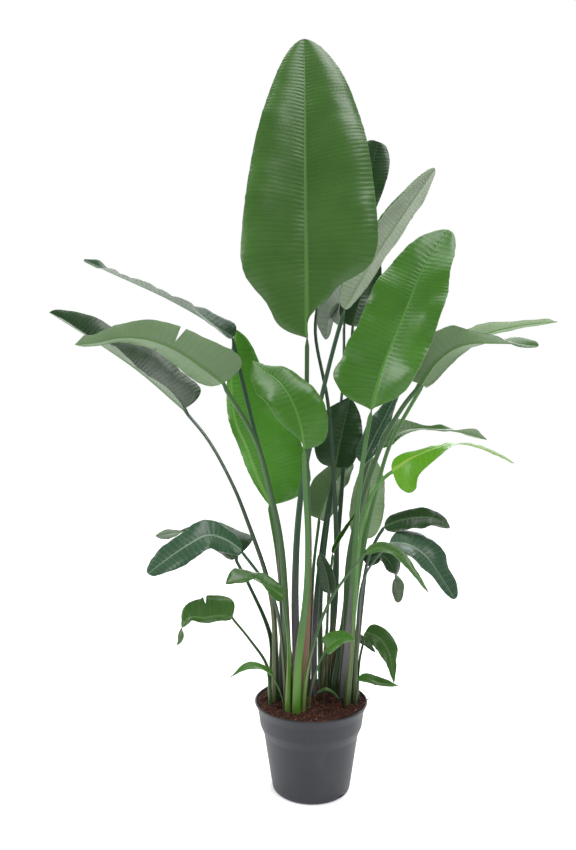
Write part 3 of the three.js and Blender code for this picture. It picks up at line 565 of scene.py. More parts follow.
# Each leaf: where its sheath enters the mix, its stalk, and the blade's midrib out to the tip
leaves = [
    leaf("leaf_top", (-22, -36), [(-12, -42, 400), (-7, -54, 580), (-12, -60, 800)],
         [(-11, -60, 1070), (-13, -55, 1280), (-15, -45, 1470), (-15, -30, 1640), (-17, -10, 1793)],
         broad, half=(160, 170), face=((0, -1, 0.1), (0, -1, 0.3)), fold=(16, 16), curl=(4, 4),
         roll=(-62, -52), widest=(0.24, 0.3), taper=(1.1, 1.45), shoulder=(1.15, 4.5), tip=0.52, wave=4,
         waves=3.5, lobes=((0.11, -1, -0.3, 0.07), (0.155, 1, -0.25, 0.035)), sheath="pink",
         sheathHeight=330),
    leaf("leaf_top_behind", (40, 66),
         [(60, 58, 400), (66, 60, 530), (58, 64, 760), (44, 70, 930), (14, 84, 1100)],
         [(22, 96, 1190), (85, 112, 1330), (146, 128, 1480), (180, 140, 1607)],
         half=(58, 50), face=((-0.3, -1, 0.3), (0.1, -1, 0.3)), widest=(0.6, 0.6), taper=(3, 3), tip=0.42,
         fold=(30, 30), roll=(-30, -40), tone="dark", sheath="brown"),
    leaf("leaf_long_upright", (-32, -12), [(-38, 0, 490), (-22, 20, 710), (28, 50, 938), (64, 62, 1080)],
         [(88, 70, 1160), (170, 85, 1300), (250, 95, 1420), (320, 100, 1522)],
         broad, half=(42, 62), face=((-0.4, 1, 0), (-0.5, 1, 0.1)), fold=(34, 30), curl=(14, 0),
         roll=(-30, -170), widest=(0.55, 0.4), taper=(2.2, 2.4), tip=0.5, wave=5, waves=3.5, tone="pale",
         sheath="purple", sheathHeight=260),
    leaf("leaf_dark_back", (60, 62), [(60, 104, 400), (84, 124, 700), (104, 150, 960)],
         [(116, 162, 1130), (136, 170, 1200), (158, 176, 1265), (176, 176, 1330)],
         face=((-0.2, -1, 0.2), (-0.2, -1, 0.4)), tone="dark", sheath="brown"),
    leaf("leaf_pale_back", (28, 96), [(30, 118, 450), (62, 150, 720), (94, 205, 1000)],
         [(98, 226, 1150), (84, 238, 1205), (62, 250, 1185), (50, 256, 1105)],
         half=(60, 54), face=((0.3, 0.6, 1), (-0.8, 0.8, 0.2)), tone="bluish"),
    leaf("leaf_right_bright", (80, 4), [(88, -12, 330), (98, -34, 500), (110, -64, 720), (126, -80, 847)],
         [(135, -86, 900), (158, -94, 990), (190, -96, 1074), (222, -94, 1152), (252, -86, 1224),
          (318, -60, 1321)],
         broad, half=(98, 92), face=((-0.3, -1, 0.3), (-0.2, -1, 0.4)), fold=(14, 20), curl=(8, 6),
         roll=(-44, -30), widest=(0.2, 0.34), taper=(2.4, 2.2), shoulder=(1.6, 1.6), tip=0.5, wave=9,
         waves=3.5, phase=0.6, lobes=((0.17, -1, 0.14, 0.04), (0.36, -1, -0.08, 0.06)), tone="bright",
         sheath="pale", sheathHeight=240),
    leaf("leaf_right_front", (78, 28),
         [(86, 20, 350), (92, 2, 542), (118, -28, 680), (166, -60, 830), (212, -80, 915)],
         [(249, -92, 961), (279, -105, 1008), (317, -120, 1039), (353, -138, 1049), (395, -160, 1047),
          (436, -180, 1043), (477, -200, 1036)],
         broad, half=(46, 62), face=((-0.2, 1, 0.3), (-0.1, 0.7, 0.8), (0.1, -0.1, 1), (0.2, -0.9, 0.6)),
         fold=(18, 24), curl=(10, 10), roll=(-30, -40), widest=(0.3, 0.14), taper=(1.4, 1.0), tip=0.5,
         lobes=((0.05, 1, 0.8, 0.08),), wave=5, waves=3),
    leaf("leaf_right_far", (88, 52), [(118, 44, 498), (157, 42, 683), (196, 42, 819), (244, 42, 910)],
         [(281, 42, 972), (322, 50, 1019), (369, 62, 1063), (443, 85, 1098), (543, 120, 1124),
          (654, 160, 1140)],
         broad, half=(62, 62), face=((-0.4, 0.8, 0.6), (-0.2, 0.5, 1), (0, 0.4, 1)), fold=(22, 22),
         roll=(-50, -50), widest=(0.3, 0.3), taper=(0.9, 0.9), tip=0.8,
         lobes=((0.94, -1, 1.2, 0.05), (0.94, 1, 1.2, 0.05)), wave=5, waves=3.5, tone="bright"),
    leaf("leaf_right_thin", (68, 84), [(88, 88, 400), (106, 96, 560), (140, 106, 740)],
         [(168, 114, 812), (222, 132, 850), (314, 160, 858), (400, 195, 850), (488, 230, 828)],
         half=(46, 38), face=((0, -0.3, 1), (0, -0.1, 1), (0, 0.9, 0.5)), fold=(52, 4), curl=(0, 0),
         roll=(-10, -50), widest=(0.22, 0.24), taper=(1.0, 1.3), tip=0.6,
         lobes=((0.5, -1, -0.75, 0.14), (0.5, 1, -0.6, 0.14), (0.86, -1, 1.0, 0.07), (0.86, 1, 0.8, 0.07)),
         wave=4, rows=80),
    leaf("leaf_lime", (86, -18), [(94, -34, 350), (102, -54, 500), (117, -76, 648), (146, -98, 730)],
         [(180, -110, 766), (229, -130, 799), (304, -170, 828), (352, -198, 820), (412, -240, 789)],
         broad, half=(20, 70), face=((-0.3, -0.4, 1), (0.1, 0.2, 1), (0.2, 1, 0.5), (0.2, 1, 0.3)),
         fold=(50, -48), curl=(-6, -22), roll=(0, 24), widest=(0.2, 0.2), taper=(0.8, 0.6),
         shoulder=(0.6, 0.5), tip=0.8, lobes=((0.56, 1, -0.5, 0.12), (0.95, 1, 0.6, 0.05)), wave=3, waves=2,
         tone="lime"),
    leaf("leaf_right_dark", (104, 16), [(110, 6, 350), (124, -14, 490), (134, -48, 560), (152, -76, 612)],
         [(166, -90, 637), (203, -102, 653), (240, -118, 661), (270, -136, 661), (298, -158, 643)],
         half=(25, 35), face=((-0.2, -0.8, 0.9), (0.1, -0.8, 0.8)), fold=(12, 10), widest=(0.45, 0.45),
         taper=(2, 2), tip=0.75, wave=3, tone="dark"),
    leaf("leaf_glossy_droop", (104, -8), [(108, -14, 350), (120, -40, 500), (150, -102, 575)],
         [(171, -132, 606), (206, -152, 606), (240, -174, 586), (264, -192, 554), (296, -215, 502)],
         half=(52, 44), face=((0, -0.6, 1), (0.7, -0.6, 0.4)), fold=(10, 16), widest=(0.5, 0.4),
         taper=(2.8, 2.2), tip=0.44, wave=3, tone="bluish", rows=80),
    leaf("leaf_edge_droop", (-20, -60), [(-8, -80, 323), (32, -112, 459), (80, -148, 545)],
         [(114, -168, 590), (143, -180, 603), (171, -195, 597), (193, -212, 579), (213, -232, 552),
          (231, -255, 526)],
         half=(15, 17), face=((-0.3, -0.7, 1), (0.5, -0.6, 0.8)), widest=(0.3, 0.3), taper=(1.2, 1.2),
         lobes=((0.8, 1, 0.5, 0.08),), tip=0.6, wave=2, stalkHalf=(7.5, 3.8), sheath="bright",
         sheathHeight=110),
    leaf("leaf_right_hanging", (102, 34), [(114, 30, 320), (128, 32, 440)],
         [(138, 40, 525), (172, 36, 548), (202, 28, 515), (213, 18, 435)],
         half=(30, 28), face=((-0.3, -0.6, 1), (0.4, -0.8, 0.6), (0.5, 0.8, 0.1)), taper=(2.6, 2.6), tip=0.45,
         wave=3, tone="dark"),
    leaf("leaf_low_right", (112, 4), [(116, -6, 300)],
         [(130, -18, 374), (159, -38, 367), (176, -52, 345), (183, -66, 319), (187, -84, 278)],
         half=(27, 28), face=((-0.2, -0.8, 0.8), (0.5, -0.8, 0.4)), widest=(0.35, 0.35), taper=(1.3, 1.3),
         fold=(14, 14), wave=4, stalkHalf=(5.5, 3), tip=0.8),
    leaf("leaf_low_tiny", (88, 70), [(98, 78, 260)],
         [(107, 88, 333), (124, 94, 326), (146, 100, 308), (167, 104, 287)],
         little, half=(12, 12), face=((0, -0.8, 0.7), (0.2, -0.8, 0.7)), tone="dark"),
    leaf("leaf_rim_right", (104, -30), [(107, -32, 234)],
         [(111, -34, 267), (134, -38, 271), (157, -42, 265), (202, -50, 258)],
         little, half=(12, 15), face=((-0.3, -0.5, 1), (0, -0.8, 0.8)), widest=(0.55, 0.55), tip=0.8,
         tone="bright"),
    leaf("leaf_on_mix", (8, -10), [(9, -11, 218)],
         [(14, -13, 226), (34, -17, 234), (52, -21, 230), (66, -25, 217)],
         little, half=(9, 9), face=((0, 0, 1), (0.2, 0, 1)), stalkHalf=(3.4, 2), wave=0.6),
    leaf("leaf_centre_small", (-6, -44), [(8, -64, 290), (20, -80, 330)],
         [(34, -96, 361), (50, -106, 378), (70, -116, 389), (93, -126, 388)],
         little, half=(24, 23), face=((-0.3, -0.9, 0.8), (0, -0.9, 0.9)), widest=(0.25, 0.25), tip=0.8,
         tone="bright", sheathHeight=50),
    leaf("leaf_centre_dark", (26, 8), [(34, 8, 330)],
         [(46, 10, 462), (40, 0, 500), (30, -10, 535), (20, -20, 562)],
         little, half=(22, 22), face=((-0.4, -1, 0), (-0.4, -1, 0.2)), tone="dark", sheath="brown"),
    leaf("leaf_left_tiny", (-60, -46), [(-74, -44, 243)],
         [(-92, -50, 282), (-124, -60, 306), (-156, -70, 305), (-187, -80, 289)],
         little, half=(14, 14), face=((0.4, -0.3, 1), (-0.2, -0.3, 1)), tip=0.85, tone="bright",
         sheathHeight=30),
    leaf("leaf_left_low", (-98, -20), [(-106, -12, 292), (-146, -20, 356)],
         [(-188, -32, 412), (-218, -42, 419), (-254, -55, 418), (-282, -68, 423), (-299, -80, 402),
          (-308, -92, 366)],
         half=(12, 50), face=((0.2, -0.9, 0.5), (0, -0.9, 0.5), (-0.5, 0.8, 0.3)), fold=(-10, 16),
         widest=(0.3, 0.3), taper=(1.2, 1.0), lobes=((0.72, 1, -0.6, 0.12),), stalkHalf=(5.5, 3.2),
         tears=((0.34, 1, 0.45),), wave=4, tip=0.6),
    leaf("leaf_left_front", (-56, -66), [(-53, -82, 350), (-60, -98, 425)],
         [(-67, -120, 483), (-91, -126, 502), (-115, -132, 517), (-139, -140, 530), (-165, -150, 528),
          (-191, -160, 521)],
         half=(26, 30), face=((0.5, -0.9, 0.5), (0.3, -0.05, 1), (0, -0.9, 1)), fold=(20, 24),
         stalkHalf=(8, 3.8), widest=(0.25, 0.7), taper=(1.7, 2), sheath="bright",
         wave=3, tip=0.8),
    leaf("leaf_left_glossy", (-60, -16),
         [(-64, -26, 300), (-74, -40, 397), (-88, -55, 462), (-111, -66, 507)],
         [(-163, -80, 579), (-196, -100, 607), (-235, -120, 621), (-276, -142, 603), (-321, -165, 574),
          (-355, -188, 549)],
         half=(42, 38), face=((0.3, -0.8, 1), (-0.5, -0.9, 0.8)), fold=(10, 14), roll=(-60, -40),
         widest=(0.45, 0.45), taper=(2.6, 2.6), wave=4, tone="bluish", rows=90, tip=0.45),
    leaf("leaf_left_behind", (-98, 26), [(-98, 34, 344), (-153, 60, 469)],
         [(-189, 80, 531), (-261, 110, 573), (-332, 140, 589), (-405, 165, 574)],
         half=(28, 76), face=((0.4, -0.8, 0.7), (0.2, -0.2, 1), (0, 0.9, 0.5)), widest=(0.2, 0.14),
         taper=(1.2, 1.0), tip=0.55, tone="dark"),
    leaf("leaf_upper_left_thin", (-44, 24),
         [(-66, 28, 400), (-76, 26, 578), (-100, 24, 708), (-138, 22, 856)],
         [(-192, 24, 1080), (-270, 22, 1134), (-357, 28, 1182), (-446, 42, 1224), (-512, 60, 1255),
          (-570, 80, 1285)],
         broad, half=(30, 30), face=((0.2, -0.8, 0.8), (0.4, -0.02, 1), (0.4, 0, 1), (0.3, -0.9, 0.6)),
         fold=(30, 34), roll=(-40, -60), widest=(0.12, 0.14), taper=(0.9, 0.9), tip=0.42, wave=5, waves=4.5,
         lobes=((0.08, -1, 0.4, 0.09), (0.08, 1, 0.4, 0.09), (0.92, -1, 0.5, 0.07), (0.92, 1, 0.5, 0.07)),
         tone="bluish", sheath="purple", sheathHeight=280),
    leaf("leaf_left_torn", (-54, 4), [(-58, -10, 353), (-72, -22, 587), (-98, -34, 715), (-130, -44, 829)],
         [(-208, -60, 965), (-250, -76, 998), (-310, -102, 1038), (-367, -130, 1058), (-422, -156, 1059),
          (-470, -176, 1046), (-510, -192, 1040)],
         broad, half=(84, 76), face=((0.4, 0.9, 0.6), (0.1, 0.7, 0.8), (0, 0.6, 0.9)), fold=(6, 24),
         curl=(6, 10), roll=(-20, -30), widest=(0.16, 0.22), taper=(0.9, 1.2), shoulder=(0.6, 1.0), tip=0.7,
         lobes=((0.66, 1, -0.5, 0.2), (0.94, -1, 0.8, 0.05)), tears=((0.36, -1, 0.72), (0.4, 1, 0.4)), wave=5,
         sheathHeight=220),
    leaf("leaf_far_left", (-86, 2),
         [(-86, 6, 371), (-92, 22, 430), (-110, 40, 505), (-150, 52, 615), (-190, 58, 714), (-254, 60, 831)],
         [(-317, 66, 908), (-431, 90, 1003), (-541, 120, 1077), (-685, 160, 1165)],
         broad, half=(40, 86), face=((0.4, -0.15, 1), (0.4, -0.1, 1), (0.3, -0.4, 1)), fold=(30, 50),
         roll=(-20, -30), widest=(0.3, 0.18), taper=(1.6, 1.5), tip=0.44, tone="dark",
         sheathHeight=200),
    leaf("leaf_left_upright", (-72, 22), [(-68, 50, 400), (-82, 74, 540)],
         [(-103, 88, 665), (-135, 92, 740), (-161, 96, 810), (-190, 100, 880), (-200, 108, 980),
          (-189, 116, 1113)],
         broad, half=(20, 142), face=((0.2, -1, 0.1), (0.1, -1, 0.2)), fold=(-35, 16), curl=(0, 4),
         roll=(0, -70), widest=(0.4, 0.25), taper=(2, 2.4), shoulder=(1, 0.6), tip=0.6,
         tone="fresh", sheath="purple", sheathHeight=190),
    leaf("leaf_front_bright", (-36, -70),
         [(-31, -78, 330), (-14, -86, 480), (-11, -98, 608), (-17, -116, 729)],
         [(-20, -132, 815), (-28, -138, 868), (-49, -135, 926), (-77, -127, 966), (-110, -114, 991),
          (-135, -100, 1013)],
         broad, half=(62, 68), face=((0.3, -1, 0.3), (0.3, -1, 0.6)), fold=(10, 14), curl=(4, 4),
         roll=(-46, -50), widest=(0.55, 0.28), taper=(1.8, 1.2), shoulder=(2.2, 0.8), tip=1.0, wave=5,
         waves=3, tone="bright", sheath="bright"),
    leaf("leaf_shaded", (8, 22), [(14, 66, 420), (40, 98, 625)],
         [(66, 110, 762), (80, 118, 830), (94, 122, 890), (106, 120, 940)],
         half=(76, 54), face=((0.2, -1, 0.2), (0.2, -1, 0.4)), tip=0.85, tone="dark", sheath="purple",
         sheathHeight=200),
    leaf("leaf_narrow_grey", (58, 40), [(80, 46, 350), (104, 58, 540), (122, 64, 680)],
         [(134, 72, 772), (160, 80, 830), (195, 92, 895), (232, 104, 968)],
         half=(32, 30), face=((-0.5, -1, 0.4), (-0.5, -1, 0.6)), fold=(35, 35), tone="bluish"),
    leaf("leaf_olive_back", (-8, 40), [(2, 112, 350), (12, 146, 500)],
         [(28, 172, 620), (52, 188, 682), (86, 204, 732), (122, 212, 762)],
         half=(54, 52), face=((-0.3, 1, 0.4), (-0.2, 1, 0.5)), sheath="purple"),
    leaf("leaf_pale_right", (50, 92), [(84, 112, 350), (118, 130, 480)],
         [(140, 138, 575), (152, 146, 650), (160, 148, 720), (164, 144, 785)],
         half=(50, 46), face=((0, 1, 0.1), (0, 1, 0.2)), tone="bright"),
    leaf("young_rolled_leaf", (38, 34), [(40, 32, 330), (44, 26, 460)],
         [(54, 18, 556), (72, 14, 590), (92, 8, 624), (112, 2, 660)],
         little, half=(14, 14), face=((-0.6, -1, 0), (-0.6, -1, 0)), fold=(58, 58), curl=(20, 20),
         roll=(0, 0), wave=0, stalkHalf=(4.5, 3.5), tone="bright"),
]


# Upper side, the darker green between its veins, underside, midrib and stalk. The tones are partly the
# leaves' own greens and partly painted light and shade: dark is darkened as painted shade for leaves that
# stand in shade, fresh is lightened as painted light for a leaf shaded by the others, lime is partly painted
# light shining through a thin young leaf, the pale undersides of pale, bluish and bright are a painted grazing
# sheen, and the darker underside of mid is painted shade against the light from the floor.
leafTones = {
    "mid": {"upper": "426a28", "deep": "2b501b", "under": "5f7554", "midrib": "527a3b", "stalk": "3b5a33"},
    "bright": {"upper": "42761f", "deep": "2f5b18", "under": "8a9d7c", "midrib": "508430", "stalk": "467038"},
    "fresh": {"upper": "4f8f26", "deep": "3a721c", "under": "93ab7c", "midrib": "689a3c", "stalk": "4d7c36"},
    "lime": {"upper": "62a014", "deep": "4c8c0e", "under": "93a878", "midrib": "8ab044", "stalk": "4d7c36"},
    "pale": {"upper": "3c6426", "deep": "2b4e1c", "under": "b5bfae", "midrib": "8a9c7c", "stalk": "33503a"},
    "dark": {"upper": "1f421a", "deep": "122d0f", "under": "6f8068", "midrib": "47653c", "stalk": "2c4630"},
    "bluish": {"upper": "34563a", "deep": "22402a", "under": "a3aaa0", "midrib": "78907a", "stalk": "314c39"},
}

# The sheath that wraps each stalk where it meets the mix
sheathColours = {
    "green": "3c5a34", "bright": "4f7f2a", "pink": "7c5a48", "purple": "55525c", "pale": "7d7482",
    "brown": "4d4a2c",
}


# Living leaf: a waxy skin over pleats and fine ribs that run from the midrib to the edge, matt and paler
# underneath. Along a rib the light breaks into streaks. Stalks are green with long fibres, under a sheath
# that has a colour of its own and thin dry margins. Lengths are in mm.
leafPattern = {
    "pleat": 10.5, "rib": 3.6, "blister": 8, "drift": 62.5, "patch": 111, "fibreWidth": 2.38,
    "fibreLength": 111,
    "pleatHeight": 0.17, "ribHeight": 0.28, "blisterHeight": 0.25, "fibreHeight": 0.35, "driftReach": 9,
    "dryMargin": "9a7a5c", "smoothest": 0.2, "underRoughness": 0.5, "patchRoughness": 0.24,
}


def leafSkin(toneName):
    p = leafPattern
    tone = {part: hexToLinear(code) for part, code in leafTones[toneName].items()}
    material, tree = newMaterial("waxyLeafPaintedLight" + toneName.capitalize())
    along, across, upper, sheath, rib = (
        addNode(tree, "ShaderNodeAttribute", attribute_name=name).outputs["Fac"]
        for name in ("veinMm", "across", "upper", "sheath", "rib"))
    sheathColour = addNode(tree, "ShaderNodeAttribute", attribute_name="sheathColour").outputs["Color"]
    place = addNode(tree, "ShaderNodeTexCoord").outputs["Object"]
    onStalk = addNode(tree, "ShaderNodeMath", [sheath, 0.0001], operation="GREATER_THAN")
    out = addNode(tree, "ShaderNodeMath", [across], operation="ABSOLUTE")

    drift = addNode(tree, "ShaderNodeTexNoise", {
        "Vector": place, "Scale": perMetre(p["drift"]), "Detail": 2.0})
    drifted = addNode(tree, "ShaderNodeMath", [drift, p["driftReach"], along], operation="MULTIPLY_ADD")
    pleatTurn = addNode(tree, "ShaderNodeMath", [drifted, 2 * math.pi / p["pleat"]], operation="MULTIPLY")
    pleat = addNode(tree, "ShaderNodeMath", [pleatTurn], operation="SINE")
    ribPlace = addNode(tree, "ShaderNodeMath", [drifted, p["rib"]], operation="DIVIDE")
    fine = addNode(tree, "ShaderNodeTexNoise", noise_dimensions="1D", inputs={
        "W": ribPlace, "Scale": 1.0, "Detail": 4.0, "Roughness": 0.7})
    patches = addNode(tree, "ShaderNodeTexNoise", {
        "Vector": place, "Scale": perMetre(p["patch"]), "Detail": 5.0})
    blisters = addNode(tree, "ShaderNodeTexNoise", {
        "Vector": place, "Scale": perMetre(p["blister"]), "Detail": 2.0})

    # Upper side: lighter on the ribs' crests and in patches, and a little lighter along the top of each pleat,
    # a painted highlight where the pleats catch the light
    patchShare = addNode(tree, "ShaderNodeMath", [patches, 1.1, -0.45], operation="MULTIPLY_ADD")
    greenShare = addNode(tree, "ShaderNodeMath", [fine, 0.8, patchShare], operation="MULTIPLY_ADD",
                         use_clamp=True)
    green = addNode(tree, "ShaderNodeMix", [greenShare, tone["deep"], tone["upper"]], data_type="RGBA")
    # The first of these lightens the upper side on each pleat's top: a painted highlight
    pleatTopHighlight, paleCrest = (
        addNode(tree, "ShaderNodeMapRange", {"Value": pleat, "From Min": 0.6, "To Max": most})
        for most in (0.13, 0.22))
    green = addNode(tree, "ShaderNodeMix", [pleatTopHighlight, green, tone["midrib"]], data_type="RGBA")

    # Underside: paler, with the upper green showing through on the ribs
    paleShare = addNode(tree, "ShaderNodeMath", [fine, 0.6], operation="MULTIPLY")
    pale = addNode(tree, "ShaderNodeMix", [paleShare, tone["under"], tone["upper"]], data_type="RGBA")
    pale = addNode(tree, "ShaderNodeMix", [paleCrest, pale, tone["upper"]], data_type="RGBA")
    face = addNode(tree, "ShaderNodeMix", [upper, pale, green], data_type="RGBA")
    ribShare = addNode(tree, "ShaderNodeMath", [rib, 0.9], operation="MULTIPLY")
    blade = addNode(tree, "ShaderNodeMix", [ribShare, face, tone["midrib"]], data_type="RGBA")
    paleEdge = addNode(tree, "ShaderNodeMapRange", {
        "Value": out, "From Min": 0.982, "From Max": 1.0, "To Max": 0.5})
    blade = addNode(tree, "ShaderNodeMix", [paleEdge, blade, tone["under"]], data_type="RGBA")

    wide, long = perMetre(p["fibreWidth"]), perMetre(p["fibreLength"])
    lengthways = addNode(tree, "ShaderNodeMapping", {"Vector": place, "Scale": (wide, wide, long)})
    fibre = addNode(tree, "ShaderNodeTexNoise", {"Vector": lengthways, "Scale": 1.0, "Detail": 3.0})
    wear = addNode(tree, "ShaderNodeMath", [patches, 0.5, -0.25], operation="MULTIPLY_ADD")
    worn = addNode(tree, "ShaderNodeMath", [sheath, wear], operation="ADD")
    sheathed = addNode(tree, "ShaderNodeMapRange", {"Value": worn, "From Min": 0.25, "From Max": 0.75})
    stalk = addNode(tree, "ShaderNodeMix", [sheathed, tone["stalk"], sheathColour], data_type="RGBA")
    darkFibre = addNode(tree, "ShaderNodeMapRange", {
        "Value": fibre, "From Min": 0.45, "From Max": 0.8, "To Max": 0.5})
    stalk = addNode(tree, "ShaderNodeMix", [darkFibre, stalk, tone["deep"]], data_type="RGBA")
    atMargin = addNode(tree, "ShaderNodeMapRange", {
        "Value": out, "From Min": 0.93, "From Max": 0.99, "To Max": 0.3})
    onSheath = addNode(tree, "ShaderNodeMapRange", {"Value": sheath, "From Min": 0.1, "From Max": 0.5})
    margin = addNode(tree, "ShaderNodeMath", [atMargin, onSheath], operation="MULTIPLY")
    stalk = addNode(tree, "ShaderNodeMix", [margin, stalk, hexToLinear(p["dryMargin"])], data_type="RGBA")
    colour = addNode(tree, "ShaderNodeMix", [onStalk, blade, stalk], data_type="RGBA")

    # The pleats are deepest beside the midrib and at the edge, and in some patches
    nearRib = addNode(tree, "ShaderNodeMapRange", {"Value": out, "From Min": 0.28, "From Max": 0.03})
    nearEdge = addNode(tree, "ShaderNodeMapRange", {"Value": out, "From Min": 0.7, "From Max": 1.0})
    edgeDepth = addNode(tree, "ShaderNodeMath", [nearEdge, 0.9, 0.4], operation="MULTIPLY_ADD")
    bandDepth = addNode(tree, "ShaderNodeMath", [nearRib, 1.5, edgeDepth], operation="MULTIPLY_ADD")
    patchDepth = addNode(tree, "ShaderNodeMapRange", {
        "Value": patches, "From Min": 0.35, "From Max": 0.65, "To Min": 0.4, "To Max": 1.5})
    depth = addNode(tree, "ShaderNodeMath", [bandDepth, patchDepth], operation="MULTIPLY")
    pleatHeight = addNode(tree, "ShaderNodeMath", [pleat, p["pleatHeight"]], operation="MULTIPLY")
    relief = addNode(tree, "ShaderNodeMath", [fine, p["ribHeight"], pleatHeight], operation="MULTIPLY_ADD")
    deepened = addNode(tree, "ShaderNodeMath", [relief, depth], operation="MULTIPLY")
    bladeHeight = addNode(tree, "ShaderNodeMath", [blisters, p["blisterHeight"], deepened],
                          operation="MULTIPLY_ADD")
    plain = addNode(tree, "ShaderNodeMath", [onStalk, rib], operation="MAXIMUM")
    pleated = addNode(tree, "ShaderNodeMath", [1.0, plain], operation="SUBTRACT", use_clamp=True)
    fibreHeight = addNode(tree, "ShaderNodeMath", [fibre, p["fibreHeight"]], operation="MULTIPLY")
    stalkHeight = addNode(tree, "ShaderNodeMath", [fibreHeight, onStalk], operation="MULTIPLY")
    height = addNode(tree, "ShaderNodeMath", [bladeHeight, pleated, stalkHeight], operation="MULTIPLY_ADD")
    bump = addNode(tree, "ShaderNodeBump", {"Strength": 1.0, "Distance": mm, "Height": height})

    waxy = addNode(tree, "ShaderNodeMath", [patches, p["patchRoughness"], p["smoothest"]],
                   operation="MULTIPLY_ADD")
    roughness = addNode(tree, "ShaderNodeMapRange", {
        "Value": upper, "To Min": p["underRoughness"], "To Max": waxy})
    finishMaterial(tree, {"Base Color": colour, "Roughness": roughness, "Normal": bump, "IOR": 1.45,
                          "Sheen Weight": 0.08, "Sheen Roughness": 0.35})
    return material


# Width as a share of the half blade: it swells to its widest and tapers to the tip, with lobes and tears
def widthShare(along, right, row):
    widest = row["widest"][right]
    if along < widest:
        share = (1 - (1 - along / widest) ** 3) ** row["shoulder"][right]
    else:
        share = max(0.0, 1 - ((along - widest) / (1 - widest)) ** row["taper"][right]) ** row["tip"]
    sign = 1 if right else -1
    for place, side, amount, spread in row["lobes"]:
        if side == sign:
            share *= 1 + amount * math.exp(-((along - place) / spread) ** 2)
    for place, side, depth in row["tears"]:
        if side == sign:
            share *= 1 - depth * max(0.0, 1 - abs(along - place) / leafRules["tearHalfLength"])
    return share


# The way the blade's upper side faces, turning from base to tip
def faceAt(row, along):
    spans = len(row["face"]) - 1
    span = min(int(along * spans), spans - 1)
    return Vector(row["face"][span]).lerp(Vector(row["face"][span + 1]), smooth(along * spans - span))


def bladeFrame(rib, along, row):
    tangent = pathTangent(rib, along)
    up = faceAt(row, along)
    up = (up - tangent * up.dot(tangent)).normalized()
    return rib(along), tangent, up, tangent.cross(up)


# How far one half reaches sideways and rises: it leaves the midrib at the fold, curls, and rolls at its edge
def crossSection(row, right, out, along, steps=6):
    fold, curl, roll = (math.radians(row[part][right]) for part in ("fold", "curl", "roll"))
    power = mix(leafRules["rollPowerBase"], leafRules["rollPowerTip"], smooth(along))
    sideways = raised = 0.0
    for step in range(steps):
        share = out * (step + 0.5) / steps
        angle = fold + curl * share + roll * share ** power
        sideways += math.cos(angle) * out / steps
        raised += math.sin(angle) * out / steps
    return sideways, raised


# A point of the blade, at a signed share of the way from the midrib to the edge. Waves and crinkles grow
# towards the edge, and a narrow stretch of blade has less room for them.
def bladePoint(row, bladeAxes, along, across, reach, length):
    r = leafRules
    point, tangent, up, side = bladeAxes
    right = 1 if across >= 0 else 0
    sign = 1 if right else -1
    out = abs(across)
    sideways, raised = crossSection(row, right, out, along)
    edgePlace = Vector((along * length / r["raggedLength"], sign * r["raggedSeed"], row["phase"]))
    ragged = noise.noise(edgePlace) * r["raggedness"] * out ** 3
    ripple = math.sin(2 * math.pi * row["waves"] * along + row["phase"] + right * r["halvesApart"])
    room = min(1, reach / row["half"][right])
    waved = row["wave"] * out ** 2 * ripple * room
    swept = reach * out * mix(-r["veinBack"], r["veinForward"], smooth(along * r["veinTurn"]))
    spot = point + side * (sign * (sideways * reach + ragged)) + up * (raised * reach + waved)
    spot += tangent * (swept * (1 - along))
    coarse = spot / r["crinkleLength"]
    crinkled = noise.noise(coarse) + noise.noise(coarse / r["fineCrinkles"]) * r["fineCrinkle"]
    return spot + up * (crinkled * r["crinkle"] * out ** r["crinklePower"] * room)


# Columns of points from edge to edge: five across the midrib, which has its own width, the rest spread evenly
def bladeColumns(reaches, ribHalf, perSide):
    halves = []
    for reach in reaches:
        ribShare = min(ribHalf / reach, leafRules["ribMost"])
        shoulder = ribShare * leafRules["ribShoulder"]
        spread = perSide - 3
        halves.append([ribShare, shoulder] + [mix(shoulder, 1, (n + 1) / spread) for n in range(spread)])
    return [-share for share in reversed(halves[0])] + [0.0] + halves[1]


# Gives a ring its upper and lower skin: half the thickness either way, and a keel below the midrib
def thicken(ring, spots, before, after, up, keel):
    middle = len(spots) // 2
    for column, spot in enumerate(spots):
        left, right = max(0, column - 1), min(len(spots) - 1, column + 1)
        normal = (spots[right] - spots[left]).cross(after[column] - before[column])
        if normal.length < 1e-6:
            normal = up
        else:
            normal = normal.normalized().lerp(up, leafRules["steadyNormal"]).normalized()
        ribShare = max(0.0, 1 - abs(column - middle) / 2)
        ring["top"].append(spot + normal * (leafRules["thickness"] / 2 - ribShare * keel / 6))
        ring["bottom"].append(spot - normal * (leafRules["thickness"] / 2 + ribShare * keel))


